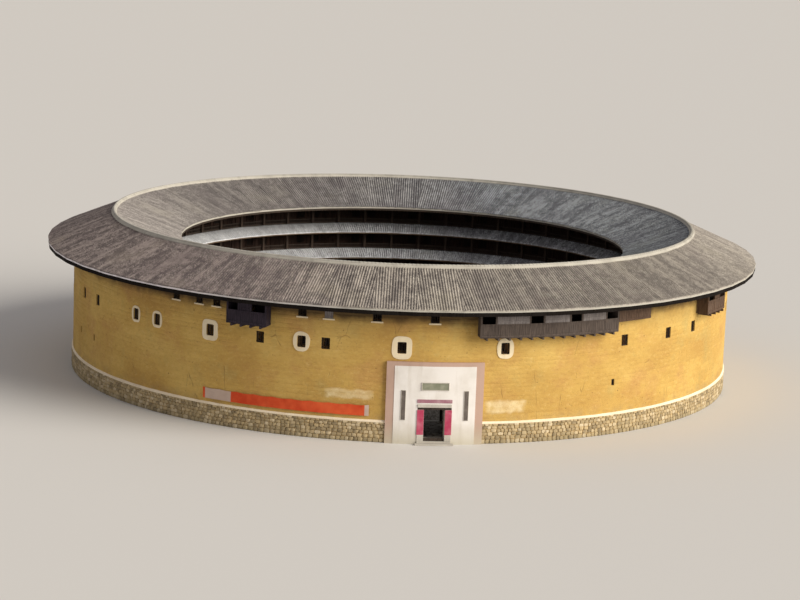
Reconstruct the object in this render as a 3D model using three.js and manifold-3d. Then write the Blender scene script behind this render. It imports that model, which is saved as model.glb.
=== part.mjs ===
// A round rammed-earth clan house (tulou) as a scale model at 1:2.
// The real house is 66 m across its earth wall: four storeys of timber rooms stand against the
// inside of the wall, look over galleries into one round courtyard, and share a ring of tiled roof.
// The gate faces -Y, +Z is up, and the origin is the courtyard's centre at ground level.
// Angles run from the gate towards +X. Lengths are real metres, and METRE turns them into the
// model's millimetres.
import * as THREE from 'three';
import { mergeVertices } from 'three/addons/utils/BufferGeometryUtils.js';
import Module from 'manifold-3d';

const wasm = await Module();
wasm.setup();

const METRE = 500;
const GAP = 0.3 / METRE;

// Plan: the ring is divided into equal bays, and the middle of bay 0 is the gate.
const BAYS = 54;
const BAY = 360 / BAYS;
const FLAT = Math.cos(Math.PI / BAYS);
const WALL_OUTER = 33.0;
const WALL_THICK = 1.6;
const WALL_INNER = WALL_OUTER - WALL_THICK;
const PLINTH_PROUD = 0.12;
const ROOM_FRONT = 27.5;
const FRONT_THICK = 0.1;
const GALLERY_EDGE = 26.0;
const BALUSTRADE_THICK = 0.08;
const POST = 0.22;
const WALKWAY_EDGE = 25.2;

// Heights
const PLINTH_TOP = 1.9;
const COURT_TOP = 0.12;
const GROUND_FLOOR = 0.3;
const FLOORS = [4.4, 7.35, 10.15];
const FLOOR_THICK = 0.28;
const RAIL_HEIGHT = 1.0;

// Roof: two slopes lean on each other under a round ridge.
const RIDGE_RADIUS = 29.1;
const RIDGE_Z = 15.4;
const EAVE_RADIUS = 35.54;
const EAVE_Z = 12.7;
const INNER_EAVE_RADIUS = 22.42;
const INNER_EAVE_Z = 12.99;
const ROOF_THICK = 0.28;
const RIDGE_CAP_HALF = 0.25;
const RIDGE_CAP_TOP = 15.68;
const EAVE_BEAM_DEPTH = 0.3;
const SKIRT = { width: 1.55, drop: 0.7, thick: 0.14, aboveFloor: 0.45, floors: [1, 2] };

// Gate
const GATE = { half: 0.95, top: 3.2, frameHalf: 1.55, frameTop: 3.7, frameBack: 32.2, front: 33.3 };
const FACADE = { half: 7.63, top: 7.52, thick: 0.27 };
const LEAF = { pivotX: 1.1, pivotY: -32.06, long: 1.09, thick: 0.12, low: 0.36, high: 3.26, pin: 0.04 };
const HEADER = { back: 31.95, low: 3.3 };
const SOCKET = { depth: 0.05, radius: 0.044, headerDepth: 0.15 };
const STEP = { half: 1.75, front: 33.8, top: 0.15 };

// Wall openings: [angle from the gate, sill height, width, height].
const WINDOW_3 = { sill: 8.22, width: 0.8, height: 1.05 };
const WINDOW_4 = { sill: 11.05, width: 0.8, height: 0.9 };
const LOOPHOLE = { sill: 4.6, width: 0.35, height: 0.6 };
const FRONT_WINDOWS_3 = [-74.2, -67.3, -54.2, -48.8, -37.4, -28.3, -21.3, -17.4, -5.4, 11, 33.2, 44, 52];
const FRONT_WINDOWS_4 = [-44.5, -39.7, -36.3, -21.3, -17, -9.4, -0.4];
const LOOPHOLES = [-76.2, -68.7, 31.1];
// Behind, each storey has a window in every second bay.
const BACK_BAYS = { first: 11, last: 41 };

// Timber lookouts hung outside the fourth storey: [name, first angle, last angle].
const LOOKOUTS = [
  ['lookout_left', -33, -26.5],
  ['lookout_long', 6.4, 29.7],
  ['lookout_right', 52.9, 59.9],
  ['lookout_back_right', 103, 111],
  ['lookout_back', 172, 188],
  ['lookout_back_left', 249, 257],
];
const LOOKOUT = { deep: 1.2, base: 9.95, board: 0.1, parapet: 11.2, head: 12.6, top: 12.88 };
const EAVE_LOCKER = { from: 30.6, to: 37.6, deep: 0.7, low: 10.7, high: 12.88 };
const LOOKOUT_DOOR = { width: 0.9, height: 1.9 };
const JOIST = { low: 9.75, high: 10.0, wide: 0.16, spacing: 1.6 };

// Division into nodes, in degrees from the gate
const GATE_WALL_HALF = 14.5;
const WALL_SEGMENTS = 7;

// The inner slope's parts meet on the bay lines nearest the diagonals: [name, first bay, last bay].
const INNER_SLOPE_PARTS = [
  ['front', -6.5, 6.5],
  ['right', 6.5, 20.5],
  ['back', 20.5, 33.5],
  ['left', 33.5, 47.5],
];

const FINISH = {
  earth: { color: '#c99a4b', roughness: 0.95, metalness: 0 },
  stone: { color: '#8f8672', roughness: 0.9, metalness: 0 },
  plaster: { color: '#e9e4dc', roughness: 0.85, metalness: 0 },
  timber: { color: '#6b4630', roughness: 0.8, metalness: 0 },
  greyTimber: { color: '#7b746c', roughness: 0.85, metalness: 0 },
  tile: { color: '#78736e', roughness: 0.85, metalness: 0 },
  ridge: { color: '#aaa59c', roughness: 0.9, metalness: 0 },
};

const house = new THREE.Group();

// Solids

function solidOf(geometry) {
  const bare = geometry.clone();
  bare.deleteAttribute('normal');
  bare.deleteAttribute('uv');
  const merged = mergeVertices(bare, 1e-3);
  return new wasm.Manifold(
    new wasm.Mesh({
      numProp: 3,
      vertProperties: new Float32Array(merged.attributes.position.array),
      triVerts: new Uint32Array(merged.index.array),
    }),
  );
}

function geometryOf(solid) {
  const made = solid.getMesh();
  const geometry = new THREE.BufferGeometry();
  geometry.setAttribute('position', new THREE.BufferAttribute(made.vertProperties, 3));
  geometry.setIndex(new THREE.BufferAttribute(made.triVerts, 1));
  const flat = geometry.toNonIndexed();
  flat.computeVertexNormals();
  return flat;
}

function add(name, solid, finish) {
  const mesh = new THREE.Mesh(geometryOf(solid), new THREE.MeshStandardMaterial(FINISH[finish]));
  mesh.name = name;
  house.add(mesh);
  return mesh;
}

// A whole ring from a section of [radius, height] points, anticlockwise. Its corners are bay lines.
function ring(section) {
  const points = [...section, section[0]].map(([r, z]) => new THREE.Vector2(r * METRE, z * METRE));
  const start = THREE.MathUtils.degToRad(BAY / 2);
  return solidOf(new THREE.LatheGeometry(points, BAYS, start, Math.PI * 2).rotateX(Math.PI / 2));
}

function band(inner, outer, low, high) {
  return ring([[inner, low], [outer, low], [outer, high], [inner, high]]);
}

// A wedge of space between two angles, up to half a turn apart.
function wedge(from, to) {
  const far = 45 * METRE;
  const steps = Math.max(1, Math.ceil((to - from) / 60));
  const outline = new THREE.Shape([new THREE.Vector2(0, 0)]);
  for (let i = 0; i <= steps; i += 1) {
    const a = THREE.MathUtils.degToRad(from + ((to - from) * i) / steps);
    outline.lineTo(far * Math.sin(a), -far * Math.cos(a));
  }
  const height = 20 * METRE;
  const block = new THREE.ExtrudeGeometry(outline, { depth: height, bevelEnabled: false });
  return solidOf(block.translate(0, 0, -METRE));
}

// The part of a ring between two angles, held back by half a joint's gap at each end.
function sector(solid, from, to) {
  const joint = THREE.MathUtils.radToDeg(GAP / 2 / WALL_OUTER);
  return solid.intersect(wedge(from + joint, to - joint));
}

function box([x0, x1], [y0, y1], [z0, z1]) {
  const size = [x1 - x0, y1 - y0, z1 - z0].map((v) => v * METRE);
  const middle = [x0 + x1, y0 + y1, z0 + z1].map((v) => (v / 2) * METRE);
  return solidOf(new THREE.BoxGeometry(...size).translate(...middle));
}

// A block that passes through the wall at an angle from the gate.
function wallHole(angle, width, low, height) {
  const deep = WALL_THICK * 2;
  const radius = WALL_OUTER - WALL_THICK / 2;
  const block = new THREE.BoxGeometry(width * METRE, deep * METRE, height * METRE);
  block.translate(0, -radius * METRE, (low + height / 2) * METRE);
  return solidOf(block.rotateZ(THREE.MathUtils.degToRad(angle)));
}

function pin(x, y, low, high, radius) {
  const rod = new THREE.CylinderGeometry(radius * METRE, radius * METRE, (high - low) * METRE, 12);
  rod.rotateX(Math.PI / 2).translate(x * METRE, y * METRE, ((low + high) / 2) * METRE);
  return solidOf(rod);
}

function union(solids) {
  return solids.reduce((whole, next) => whole.add(next));
}

function cut(solid, tools) {
  return tools.reduce((left, tool) => left.subtract(tool), solid);
}

// Roof surfaces

function outerTop(radius) {
  return RIDGE_Z - ((radius - RIDGE_RADIUS) * (RIDGE_Z - EAVE_Z)) / (EAVE_RADIUS - RIDGE_RADIUS);
}

function innerTop(radius) {
  const fall = (RIDGE_Z - INNER_EAVE_Z) / (RIDGE_RADIUS - INNER_EAVE_RADIUS);
  return RIDGE_Z - (RIDGE_RADIUS - radius) * fall;
}

function underOuter(radius) {
  return outerTop(radius) - ROOF_THICK - GAP;
}

function underInner(radius) {
  return innerTop(radius) - ROOF_THICK - GAP;
}

// Openings in the wall

function clearOfLookouts(angle) {
  return LOOKOUTS.every(([, from, to]) => angle < from - 1 || angle > to + 1);
}

function backWindows(offset, kind) {
  const angles = [];
  for (let bay = BACK_BAYS.first + offset; bay <= BACK_BAYS.last; bay += 2) {
    angles.push(bay * BAY);
  }
  const shown = kind === WINDOW_4 ? angles.filter(clearOfLookouts) : angles;
  return shown.map((a) => wallHole(a, kind.width, kind.sill, kind.height));
}

function wallOpenings() {
  const storey3 = FRONT_WINDOWS_3.map((a) => wallHole(a, WINDOW_3.width, WINDOW_3.sill, WINDOW_3.height));
  const storey4 = FRONT_WINDOWS_4.map((a) => wallHole(a, WINDOW_4.width, WINDOW_4.sill, WINDOW_4.height));
  const slits = LOOPHOLES.map((a) => wallHole(a, LOOPHOLE.width, LOOPHOLE.sill, LOOPHOLE.height));
  const doors = LOOKOUTS.map(([, from, to]) =>
    wallHole((from + to) / 2, LOOKOUT_DOOR.width, FLOORS[2] + GAP, LOOKOUT_DOOR.height),
  );
  return [
    ...storey3,
    ...storey4,
    ...slits,
    ...doors,
    ...backWindows(0, WINDOW_3),
    ...backWindows(1, WINDOW_4),
  ];
}

function gateHole() {
  const half = GATE.frameHalf + GAP;
  return box([-half, half], [-WALL_OUTER - 1, -WALL_INNER + 1], [-1, GATE.frameTop]);
}

// Masonry

function addWall() {
  const whole = cut(
    ring([
      [WALL_INNER, PLINTH_TOP],
      [WALL_OUTER, PLINTH_TOP],
      [WALL_OUTER, underOuter(WALL_OUTER)],
      [WALL_INNER, underOuter(WALL_INNER)],
    ]),
    wallOpenings(),
  );
  const beside = band(WALL_INNER - 1, WALL_OUTER + 1, 0, GATE.frameTop);
  const besideGate = cut(whole.intersect(beside), [gateHole()]);
  add('gate_wall_left', sector(besideGate, -GATE_WALL_HALF, 0), 'earth');
  add('gate_wall_right', sector(besideGate, 0, GATE_WALL_HALF), 'earth');
  add('wall_over_gate', sector(whole.subtract(beside), -GATE_WALL_HALF, GATE_WALL_HALF), 'earth');
  const span = (360 - 2 * GATE_WALL_HALF) / WALL_SEGMENTS;
  for (let i = 0; i < WALL_SEGMENTS; i += 1) {
    const from = GATE_WALL_HALF + i * span;
    add(`wall_segment_${i + 1}`, sector(whole, from, from + span), 'earth');
  }
}

function addPlinth() {
  const whole = band(WALL_INNER, WALL_OUTER + PLINTH_PROUD, 0, PLINTH_TOP).subtract(gateHole());
  ['front_right', 'back_right', 'back_left', 'front_left'].forEach((side, i) => {
    add(`plinth_${side}`, sector(whole, i * 90, i * 90 + 90), 'stone');
  });
}

function addGroundFloors() {
  const court = new THREE.CylinderGeometry(
    (WALKWAY_EDGE - GAP) * METRE,
    (WALKWAY_EDGE - GAP) * METRE,
    COURT_TOP * METRE,
    BAYS,
    1,
    false,
    THREE.MathUtils.degToRad(BAY / 2),
  );
  court.rotateX(Math.PI / 2).translate(0, 0, (COURT_TOP / 2) * METRE);
  add('courtyard_floor', solidOf(court), 'stone');
  add('ground_floor', band(WALKWAY_EDGE, WALL_INNER - GAP, 0, GROUND_FLOOR), 'stone');
}

// Gate

function addFacade() {
  const foot = WALL_OUTER + PLINTH_PROUD + GAP;
  const back = WALL_OUTER + GAP;
  const face = WALL_OUTER + FACADE.thick;
  const plate = ring([
    [foot, 0],
    [face, 0],
    [face, FACADE.top],
    [back, FACADE.top],
    [back, PLINTH_TOP + GAP],
    [foot, PLINTH_TOP + GAP],
  ]);
  add('gate_facade', sector(plate, -FACADE.half, FACADE.half).subtract(gateHole()), 'plaster');
}

function addGateFrame() {
  const block = box(
    [-GATE.frameHalf, GATE.frameHalf],
    [-GATE.front, -GATE.frameBack],
    [GROUND_FLOOR, GATE.frameTop - GAP],
  );
  const doorway = box([-GATE.half, GATE.half], [-GATE.front - 1, -GATE.frameBack + 1], [0, GATE.top]);
  add('gate_frame', block.subtract(doorway), 'stone');
}

function addGateSill() {
  const back = -WALL_INNER * FLAT;
  const sill = box([-GATE.frameHalf, GATE.frameHalf], [-GATE.front - 0.05, back], [0, GROUND_FLOOR]);
  const step = box([-STEP.half, STEP.half], [-STEP.front, -GATE.front - 0.01], [0, STEP.top]);
  const sockets = [-LEAF.pivotX, LEAF.pivotX].map((x) =>
    pin(x, LEAF.pivotY, GROUND_FLOOR - SOCKET.depth, GROUND_FLOOR + 1, SOCKET.radius),
  );
  add('gate_sill', cut(sill.add(step), sockets), 'stone');
}

function addGateHeader() {
  const beam = box(
    [-GATE.frameHalf, GATE.frameHalf],
    [-GATE.frameBack + GAP, -HEADER.back],
    [HEADER.low, GATE.frameTop - GAP],
  );
  const sockets = [-LEAF.pivotX, LEAF.pivotX].map((x) =>
    pin(x, LEAF.pivotY, HEADER.low - 1, HEADER.low + SOCKET.headerDepth + 0.05, SOCKET.radius),
  );
  add('gate_header', cut(beam, sockets), 'timber');
}

// A leaf stands open, against the side of the passage. side is -1 for the left one.
function addLeaf(name, side) {
  const x = side * LEAF.pivotX;
  const half = LEAF.thick / 2;
  const board = box([x - half, x + half], [LEAF.pivotY - half, LEAF.pivotY + LEAF.long], [LEAF.low, LEAF.high]);
  const foot = pin(x, LEAF.pivotY, GROUND_FLOOR - SOCKET.depth + GAP, LEAF.low + half, LEAF.pin);
  const head = pin(x, LEAF.pivotY, LEAF.high - half, HEADER.low + SOCKET.headerDepth, LEAF.pin);
  add(name, union([board, foot, head]), 'timber');
}

// Timber storeys

function addFloors() {
  FLOORS.forEach((top, i) => {
    const floor = band(GALLERY_EDGE + GAP, WALL_INNER - GAP, top - FLOOR_THICK, top);
    add(`floor_${i + 2}`, floor, 'timber');
    const edge = GALLERY_EDGE + 0.02;
    const rail = band(edge, edge + BALUSTRADE_THICK, top, top + RAIL_HEIGHT);
    add(`balustrade_${i + 2}`, rail, 'greyTimber');
  });
}

function addRoomFronts() {
  const inner = ROOM_FRONT - FRONT_THICK;
  const low = [GROUND_FLOOR, ...FLOORS];
  low.slice(0, 3).forEach((z, i) => {
    const front = band(inner, ROOM_FRONT, z, low[i + 1] - FLOOR_THICK);
    const shown = i === 0 ? front.subtract(wedge(-BAY / 2, BAY / 2)) : front;
    add(`room_front_${i + 1}`, shown, 'timber');
  });
  const top = ring([
    [inner, low[3]],
    [ROOM_FRONT, low[3]],
    [ROOM_FRONT, underInner(ROOM_FRONT)],
    [inner, underInner(inner)],
  ]);
  add('room_front_4', top, 'timber');
}

// Full-height posts stand on the bay lines along the galleries and carry the inner eave's beam.
function addGalleryPosts() {
  const face = GALLERY_EDGE - POST;
  const beam = ring([
    [face, underInner(face) - EAVE_BEAM_DEPTH],
    [GALLERY_EDGE, underInner(face) - EAVE_BEAM_DEPTH],
    [GALLERY_EDGE, underInner(GALLERY_EDGE)],
    [face, underInner(face)],
  ]);
  const postBand = band(face, GALLERY_EDGE, GROUND_FLOOR, underInner(face) - EAVE_BEAM_DEPTH / 2);
  const half = THREE.MathUtils.radToDeg(POST / 2 / GALLERY_EDGE);
  const third = BAYS / 3;
  ['front', 'back_right', 'back_left'].forEach((side, i) => {
    const from = (i - 0.5) * third * BAY;
    const posts = [];
    for (let k = 0; k < third; k += 1) {
      const middle = from + (k + 0.5) * BAY;
      posts.push(sector(postBand, middle - half, middle + half));
    }
    add(`gallery_posts_${side}`, union([sector(beam, from, from + third * BAY), ...posts]), 'timber');
  });
}

function addSkirtRoofs() {
  SKIRT.floors.forEach((f) => {
    const outer = GALLERY_EDGE - POST - GAP;
    const inner = outer - SKIRT.width;
    const high = FLOORS[f] + SKIRT.aboveFloor;
    const low = high - SKIRT.drop;
    const skirt = ring([
      [inner, low - SKIRT.thick],
      [outer, high - SKIRT.thick],
      [outer, high],
      [inner, low],
    ]);
    add(`skirt_roof_${f + 2}`, skirt, 'tile');
  });
}

// Roof

function addRoof() {
  const start = RIDGE_RADIUS + GAP;
  const outer = ring([
    [start, outerTop(start) - ROOF_THICK],
    [EAVE_RADIUS, EAVE_Z - ROOF_THICK],
    [EAVE_RADIUS, EAVE_Z],
    [start, outerTop(start)],
  ]);
  const inner = ring([
    [INNER_EAVE_RADIUS, INNER_EAVE_Z - ROOF_THICK],
    [RIDGE_RADIUS, RIDGE_Z - ROOF_THICK],
    [RIDGE_RADIUS, RIDGE_Z],
    [INNER_EAVE_RADIUS, INNER_EAVE_Z],
  ]);
  add('roof_outer_right', sector(outer, 0, 180), 'tile');
  add('roof_outer_left', sector(outer, 180, 360), 'tile');
  INNER_SLOPE_PARTS.forEach(([side, from, to]) => {
    add(`roof_inner_${side}`, sector(inner, from * BAY, to * BAY), 'tile');
  });
  const near = RIDGE_RADIUS - RIDGE_CAP_HALF;
  const far = RIDGE_RADIUS + RIDGE_CAP_HALF;
  const cap = ring([
    [near, innerTop(near) + GAP],
    [RIDGE_RADIUS, RIDGE_Z + GAP],
    [far, outerTop(far) + GAP],
    [far, RIDGE_CAP_TOP],
    [near, RIDGE_CAP_TOP],
  ]);
  add('roof_ridge', cap, 'ridge');
}

// Lookouts: boarded boxes on joists, open in a strip under the eave.

function addLookout(name, from, to) {
  const back = WALL_OUTER + GAP;
  const face = WALL_OUTER + LOOKOUT.deep;
  const boardAngle = THREE.MathUtils.radToDeg(LOOKOUT.board / face);
  const spanLength = THREE.MathUtils.degToRad(to - from) * face;
  const floor = sector(band(back, face, LOOKOUT.base, FLOORS[2]), from, to);
  const parapet = sector(band(face - LOOKOUT.board, face, FLOORS[2] - 0.1, LOOKOUT.parapet), from, to);
  const head = sector(band(face - LOOKOUT.board, face, LOOKOUT.head, LOOKOUT.top), from, to);
  const side = band(back, face, FLOORS[2] - 0.1, LOOKOUT.top);
  const ends = [sector(side, from, from + boardAngle), sector(side, to - boardAngle, to)];
  const postBand = band(face - LOOKOUT.board, face, FLOORS[2], LOOKOUT.top);
  const lights = Math.max(2, Math.round(spanLength / 1.9));
  const posts = [];
  for (let i = 1; i < lights; i += 1) {
    const a = from + ((to - from) * i) / lights;
    posts.push(sector(postBand, a - boardAngle / 2, a + boardAngle / 2));
  }
  const joistBand = band(back, face + 0.05, JOIST.low, JOIST.high);
  const joistAngle = THREE.MathUtils.radToDeg(JOIST.wide / face);
  const joistCount = Math.max(3, Math.round(spanLength / JOIST.spacing));
  const joists = [];
  for (let i = 0; i < joistCount; i += 1) {
    const a = from + joistAngle + ((to - from - 2 * joistAngle) * i) / (joistCount - 1);
    joists.push(sector(joistBand, a - joistAngle / 2, a + joistAngle / 2));
  }
  add(name, union([floor, parapet, head, ...ends, ...posts, ...joists]), 'greyTimber');
}

// A shallow boarded box beside the long lookout, closed on all sides.
function addEaveLocker() {
  const back = WALL_OUTER + GAP;
  const body = band(back, WALL_OUTER + EAVE_LOCKER.deep, EAVE_LOCKER.low, EAVE_LOCKER.high);
  add('eave_locker', sector(body, EAVE_LOCKER.from, EAVE_LOCKER.to), 'timber');
}

addWall();
addPlinth();
addGroundFloors();
addFacade();
addGateFrame();
addGateSill();
addGateHeader();
addLeaf('gate_leaf_left', -1);
addLeaf('gate_leaf_right', 1);
addFloors();
addRoomFronts();
addGalleryPosts();
addSkirtRoofs();
addRoof();
LOOKOUTS.forEach(([name, from, to]) => addLookout(name, from, to));
addEaveLocker();

export default house;
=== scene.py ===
"""A round rammed-earth clan house: the looks around its fixed frame.

The gate faces -Y, and angles run from the gate towards +X. Every length here is a real metre
of the full-size house: a finished piece is brought to the model's half size as it is placed.
"""

import math
import random

import bmesh
import bpy
from mathutils import Matrix, Vector, noise


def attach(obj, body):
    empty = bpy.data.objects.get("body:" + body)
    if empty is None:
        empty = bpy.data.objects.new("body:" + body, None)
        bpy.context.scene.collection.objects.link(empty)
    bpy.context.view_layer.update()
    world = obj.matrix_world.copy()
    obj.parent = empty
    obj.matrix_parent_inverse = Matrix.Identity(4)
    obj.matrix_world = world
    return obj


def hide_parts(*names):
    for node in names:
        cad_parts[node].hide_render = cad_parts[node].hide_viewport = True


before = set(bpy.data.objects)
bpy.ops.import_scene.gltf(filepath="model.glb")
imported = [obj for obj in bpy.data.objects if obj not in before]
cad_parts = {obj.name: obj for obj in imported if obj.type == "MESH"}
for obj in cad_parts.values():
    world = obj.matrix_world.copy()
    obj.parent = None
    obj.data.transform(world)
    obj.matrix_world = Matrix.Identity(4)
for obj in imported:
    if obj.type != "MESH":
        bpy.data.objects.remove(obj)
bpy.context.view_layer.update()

SCALE = 0.5

# Plan of the ring
BAYS = 54
BAY = 360 / BAYS
FLAT = math.cos(math.pi / BAYS)
WALL_OUTER = 33.0
WALL_INNER = 31.4
WALL_FACE = WALL_OUTER * (1 + FLAT) / 2
PLINTH_TOP = 1.9
ROOM_FRONT = 27.4
GALLERY_EDGE = 26.0
BALUSTRADE = 26.06
POST = 0.22
WALKWAY_EDGE = 25.2

# Storeys
GROUND_FLOOR = 0.3
FLOORS = [4.4, 7.35, 10.15]
FLOOR_THICK = 0.28

# Roof
RIDGE_RADIUS = 29.1
RIDGE_Z = 15.4
RIDGE_BED = RIDGE_Z + 0.19
EAVE_RADIUS = 35.54
EAVE_Z = 12.7
INNER_EAVE_RADIUS = 22.42
INNER_EAVE_Z = 12.99
ROOF_THICK = 0.28
EAVE_BEAM = {"near": 34.55, "far": 34.75, "low": 12.42, "high": 12.6, "strut_slope": 0.28}
SKIRT = {"outer": 25.78, "inner": 24.23, "drop": 0.7, "above_floor": 0.45}

# Tiles: one row is a sunk channel tile and a round cover tile, given as (share of the row, rise)
TILE_PITCH = 0.245
TILE_PROFILE = [
    (0.0, 0.0), (0.14, 0.01), (0.25, 0.032), (0.32, 0.078),
    (0.5, 0.1), (0.68, 0.078), (0.75, 0.032), (0.86, 0.01),
]
COVER_COLUMNS = (2, 3, 4, 5)
TILE_EXPOSURE = 0.125
TILE_BED = 0.045
TILE_GREYS = [(0.18, 0.16, 0.147), (0.28, 0.254, 0.225), (0.37, 0.335, 0.293), (0.50, 0.455, 0.395)]

# Plinth: the heights of its courses of stones, the mark of what is mortar between them, and
# where the sloped strip of mortar on top starts and ends
STONE_COURSES = [0.4, 0.34, 0.32, 0.3, 0.28, 0.26]
FILLET_ENDS = (7.5, 352.5)
MORTAR_TONE = -1.0

# Wall
COURSE = 0.4
GROOVE = 0.014
WINDOW_3 = {"sill": 8.22, "width": 0.8, "height": 1.05}
WINDOW_4 = {"sill": 11.05, "width": 0.8, "height": 0.9}
LOOPHOLE = {"sill": 4.6, "width": 0.35, "height": 0.6}
FRONT_WINDOWS_3 = [-74.2, -67.3, -54.2, -48.8, -37.4, -28.3, -21.3, -17.4, -5.4, 11, 33.2, 44, 52]
FRONT_WINDOWS_4 = [-44.5, -39.7, -36.3, -21.3, -17, -9.4, -0.4]
SHUTTERED_WINDOW = -17
LOOPHOLES = [-76.2, -68.7, 31.1]
BACK_BAYS = range(11, 42)
# Plaster rings round third-storey windows: the angle, and how far the ring reaches from the hole
SURROUNDS = [
    (-54.2, 0.24), (-48.8, 0.28), (-37.4, 0.46), (-21.3, 0.4), (-5.4, 0.5), (11, 0.4),
    (86.667, 0.36), (126.667, 0.42), (153.333, 0.36), (193.333, 0.4), (220, 0.36), (260, 0.44),
]

# Lookouts
LOOKOUTS = [
    ("lookout_left", -33, -26.5),
    ("lookout_long", 6.4, 29.7),
    ("lookout_right", 52.9, 59.9),
    ("lookout_back_right", 103, 111),
    ("lookout_back", 172, 188),
    ("lookout_back_left", 249, 257),
]
# Where the posts stand along each lookout, as shares of its length, and which lights are boarded up
LIGHTS = {
    "lookout_left": ((0, 0.3, 0.62, 1), (1,)),
    "lookout_long": ((0, 0.1, 0.33, 0.43, 0.62, 0.71, 0.9, 1), (1, 3, 5)),
    "lookout_right": ((0, 0.36, 0.64, 1), (1,)),
    "lookout_back_right": ((0, 0.3, 0.7, 1), (0, 2)),
    "lookout_back": ((0, 0.14, 0.38, 0.62, 0.86, 1), (1, 3)),
    "lookout_back_left": ((0, 0.34, 0.66, 1), (1,)),
}
LOOKOUT = {
    "face": 34.2, "joists": 9.75, "low": 9.95, "floor": 10.15,
    "parapet": 11.2, "head": 12.6, "top": 12.86,
}
LOOKOUT_DOOR = {"half": 0.45, "height": 1.9}
LOCKER = {"from": 30.6, "to": 37.6, "face": 33.7, "low": 10.7, "high": 12.88}

# Gate
GATE = {
    "half": 0.95, "top": 3.2, "lintel": 3.4, "frame_half": 1.55, "frame_top": 3.7,
    "front": 33.3, "back": 32.2,
}
FACADE = {"half": 6.37, "side": 7.63, "top": 7.16, "border_top": 7.52, "face": 33.27}
# Panels on the plastered front, each as its (x, z) spans, and the angles of the side ones
NAME_TABLET = ((-1.25, 1.25), (4.98, 5.7))
SIDE_TABLET = ((-0.22, 0.22), (2.2, 4.95))
SIDE_TABLETS = (-4.9, 4.9)
FADED_STRIP = ((-1.58, 1.58), (3.82, 4.14))
LEAF = {"pivot_x": 1.1, "pivot_y": -32.06, "long": 1.09, "thick": 0.12, "low": 0.36, "high": 3.26}
LEAF_PINS = (0.26, 3.44)
LEAF_PLANKS = 5
LEAF_LEDGES = (LEAF["low"] + 0.35, (LEAF["low"] + LEAF["high"]) / 2, LEAF["high"] - 0.35)
THRESHOLD = {"front": 33.2, "back": 33.08, "tall": 0.27}
STEP_FRONT = 33.8
SILL_FRONT = 33.35

# Banner, from end to end round the wall
BANNER = {"from": -38.4, "to": -10.2, "low": 2.4, "high": 3.4, "off_wall": 0.09}

# Camera and light, placed as the photograph sees the house
CAMERA_AT = Vector((-13.72, -130.51, 28.06))
CAMERA_AIM = Vector((0, 0, 3.45))
CAMERA_LENS = 118
CAMERA_ROLL = 2.2
SUN_AZIMUTH = 61
SUN_ELEVATION = 25
SUN_SPREAD = 45
SUN_POWER = 4.3
SUN_COLOUR = (1.0, 0.93, 0.82)
SKY_POWER = 0.36
SKY_COLOUR = (0.98, 0.94, 0.95, 1)

random.seed(54)
noise.seed_set(54)


# Meshes


def turn(angle):
    return Matrix.Rotation(math.radians(angle), 4, "Z")


def between(first, second):
    return (min(first, second), max(first, second))


def centres(low, high, count):
    """The middles of equal parts between two values."""
    return [low + (high - low) * (i + 0.5) / count for i in range(count)]


def planks_across(low, high, count, gap):
    """Equal spans side by side between two values, each drawn in by a gap at both edges."""
    wide = (high - low) / count
    return [(low + i * wide + gap, low + (i + 1) * wide - gap) for i in range(count)]


def as_mesh(bm, name="part"):
    """The mesh data of a bmesh, which is used up."""
    mesh = bpy.data.meshes.new(name)
    bm.to_mesh(mesh)
    bm.free()
    return mesh


def add_object(name, data):
    added = bpy.data.objects.new(name, data)
    bpy.context.scene.collection.objects.link(added)
    return added


def bar(bm, x, y, z, bevel=0.0):
    """A straight bar between two values along each axis, with its edges taken off."""
    spans = (x, y, z)
    made = bmesh.ops.create_cube(bm, size=1)["verts"]
    bmesh.ops.scale(bm, vec=[high - low for low, high in spans], verts=made)
    bmesh.ops.translate(bm, vec=[(low + high) / 2 for low, high in spans], verts=made)
    if bevel:
        edges = list({edge for vert in made for edge in vert.link_edges})
        bmesh.ops.bevel(
            bm, geom=edges, offset=bevel, offset_type="OFFSET", affect="EDGES",
            segments=1, profile=0.5, material=-1,
        )


def shape(*bars, bevel=0.0, at=(0, 0, 0)):
    """A new mesh of several bars, each given as (x, y, z) spans measured from one point."""
    bm = bmesh.new()
    for spans in bars:
        bar(bm, *spans, bevel=bevel)
    bmesh.ops.translate(bm, vec=at, verts=bm.verts)
    return bm


def cone(bm, low_radius, high_radius, depth, segments, matrix):
    """A capped round stub, standing about the origin until the matrix moves it."""
    bmesh.ops.create_cone(
        bm, cap_ends=True, cap_tris=False, segments=segments,
        radius1=low_radius, radius2=high_radius, depth=depth, matrix=matrix,
    )


def arc(section, start, end, steps):
    """A solid of a section of (radius, height) points swept from one angle to another."""
    bm = bmesh.new()
    corners = [bm.verts.new((0, -radius, height)) for radius, height in section]
    whole = end - start >= 360
    if whole:
        geom = [bm.edges.new(pair) for pair in zip(corners, corners[1:] + corners[:1])]
    else:
        geom = [bm.faces.new(corners), *bm.edges]
    bmesh.ops.rotate(bm, cent=(0, 0, 0), matrix=turn(start), verts=corners)
    bmesh.ops.spin(
        bm, geom=corners + geom, cent=(0, 0, 0), axis=(0, 0, 1),
        angle=math.radians(end - start), steps=steps, use_merge=whole, use_duplicate=False,
    )
    bmesh.ops.recalc_face_normals(bm, faces=bm.faces)
    return bm


def slab(inner, outer, low, high, start, end, steps):
    return arc([(inner, low), (outer, low), (outer, high), (inner, high)], start, end, steps)


def eave_ring(inner, outer, low, high):
    """A slab all round, with its corners where the bays of the roof meet."""
    return slab(inner, outer, low, high, BAY / 2, 360 + BAY / 2, BAYS)


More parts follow.
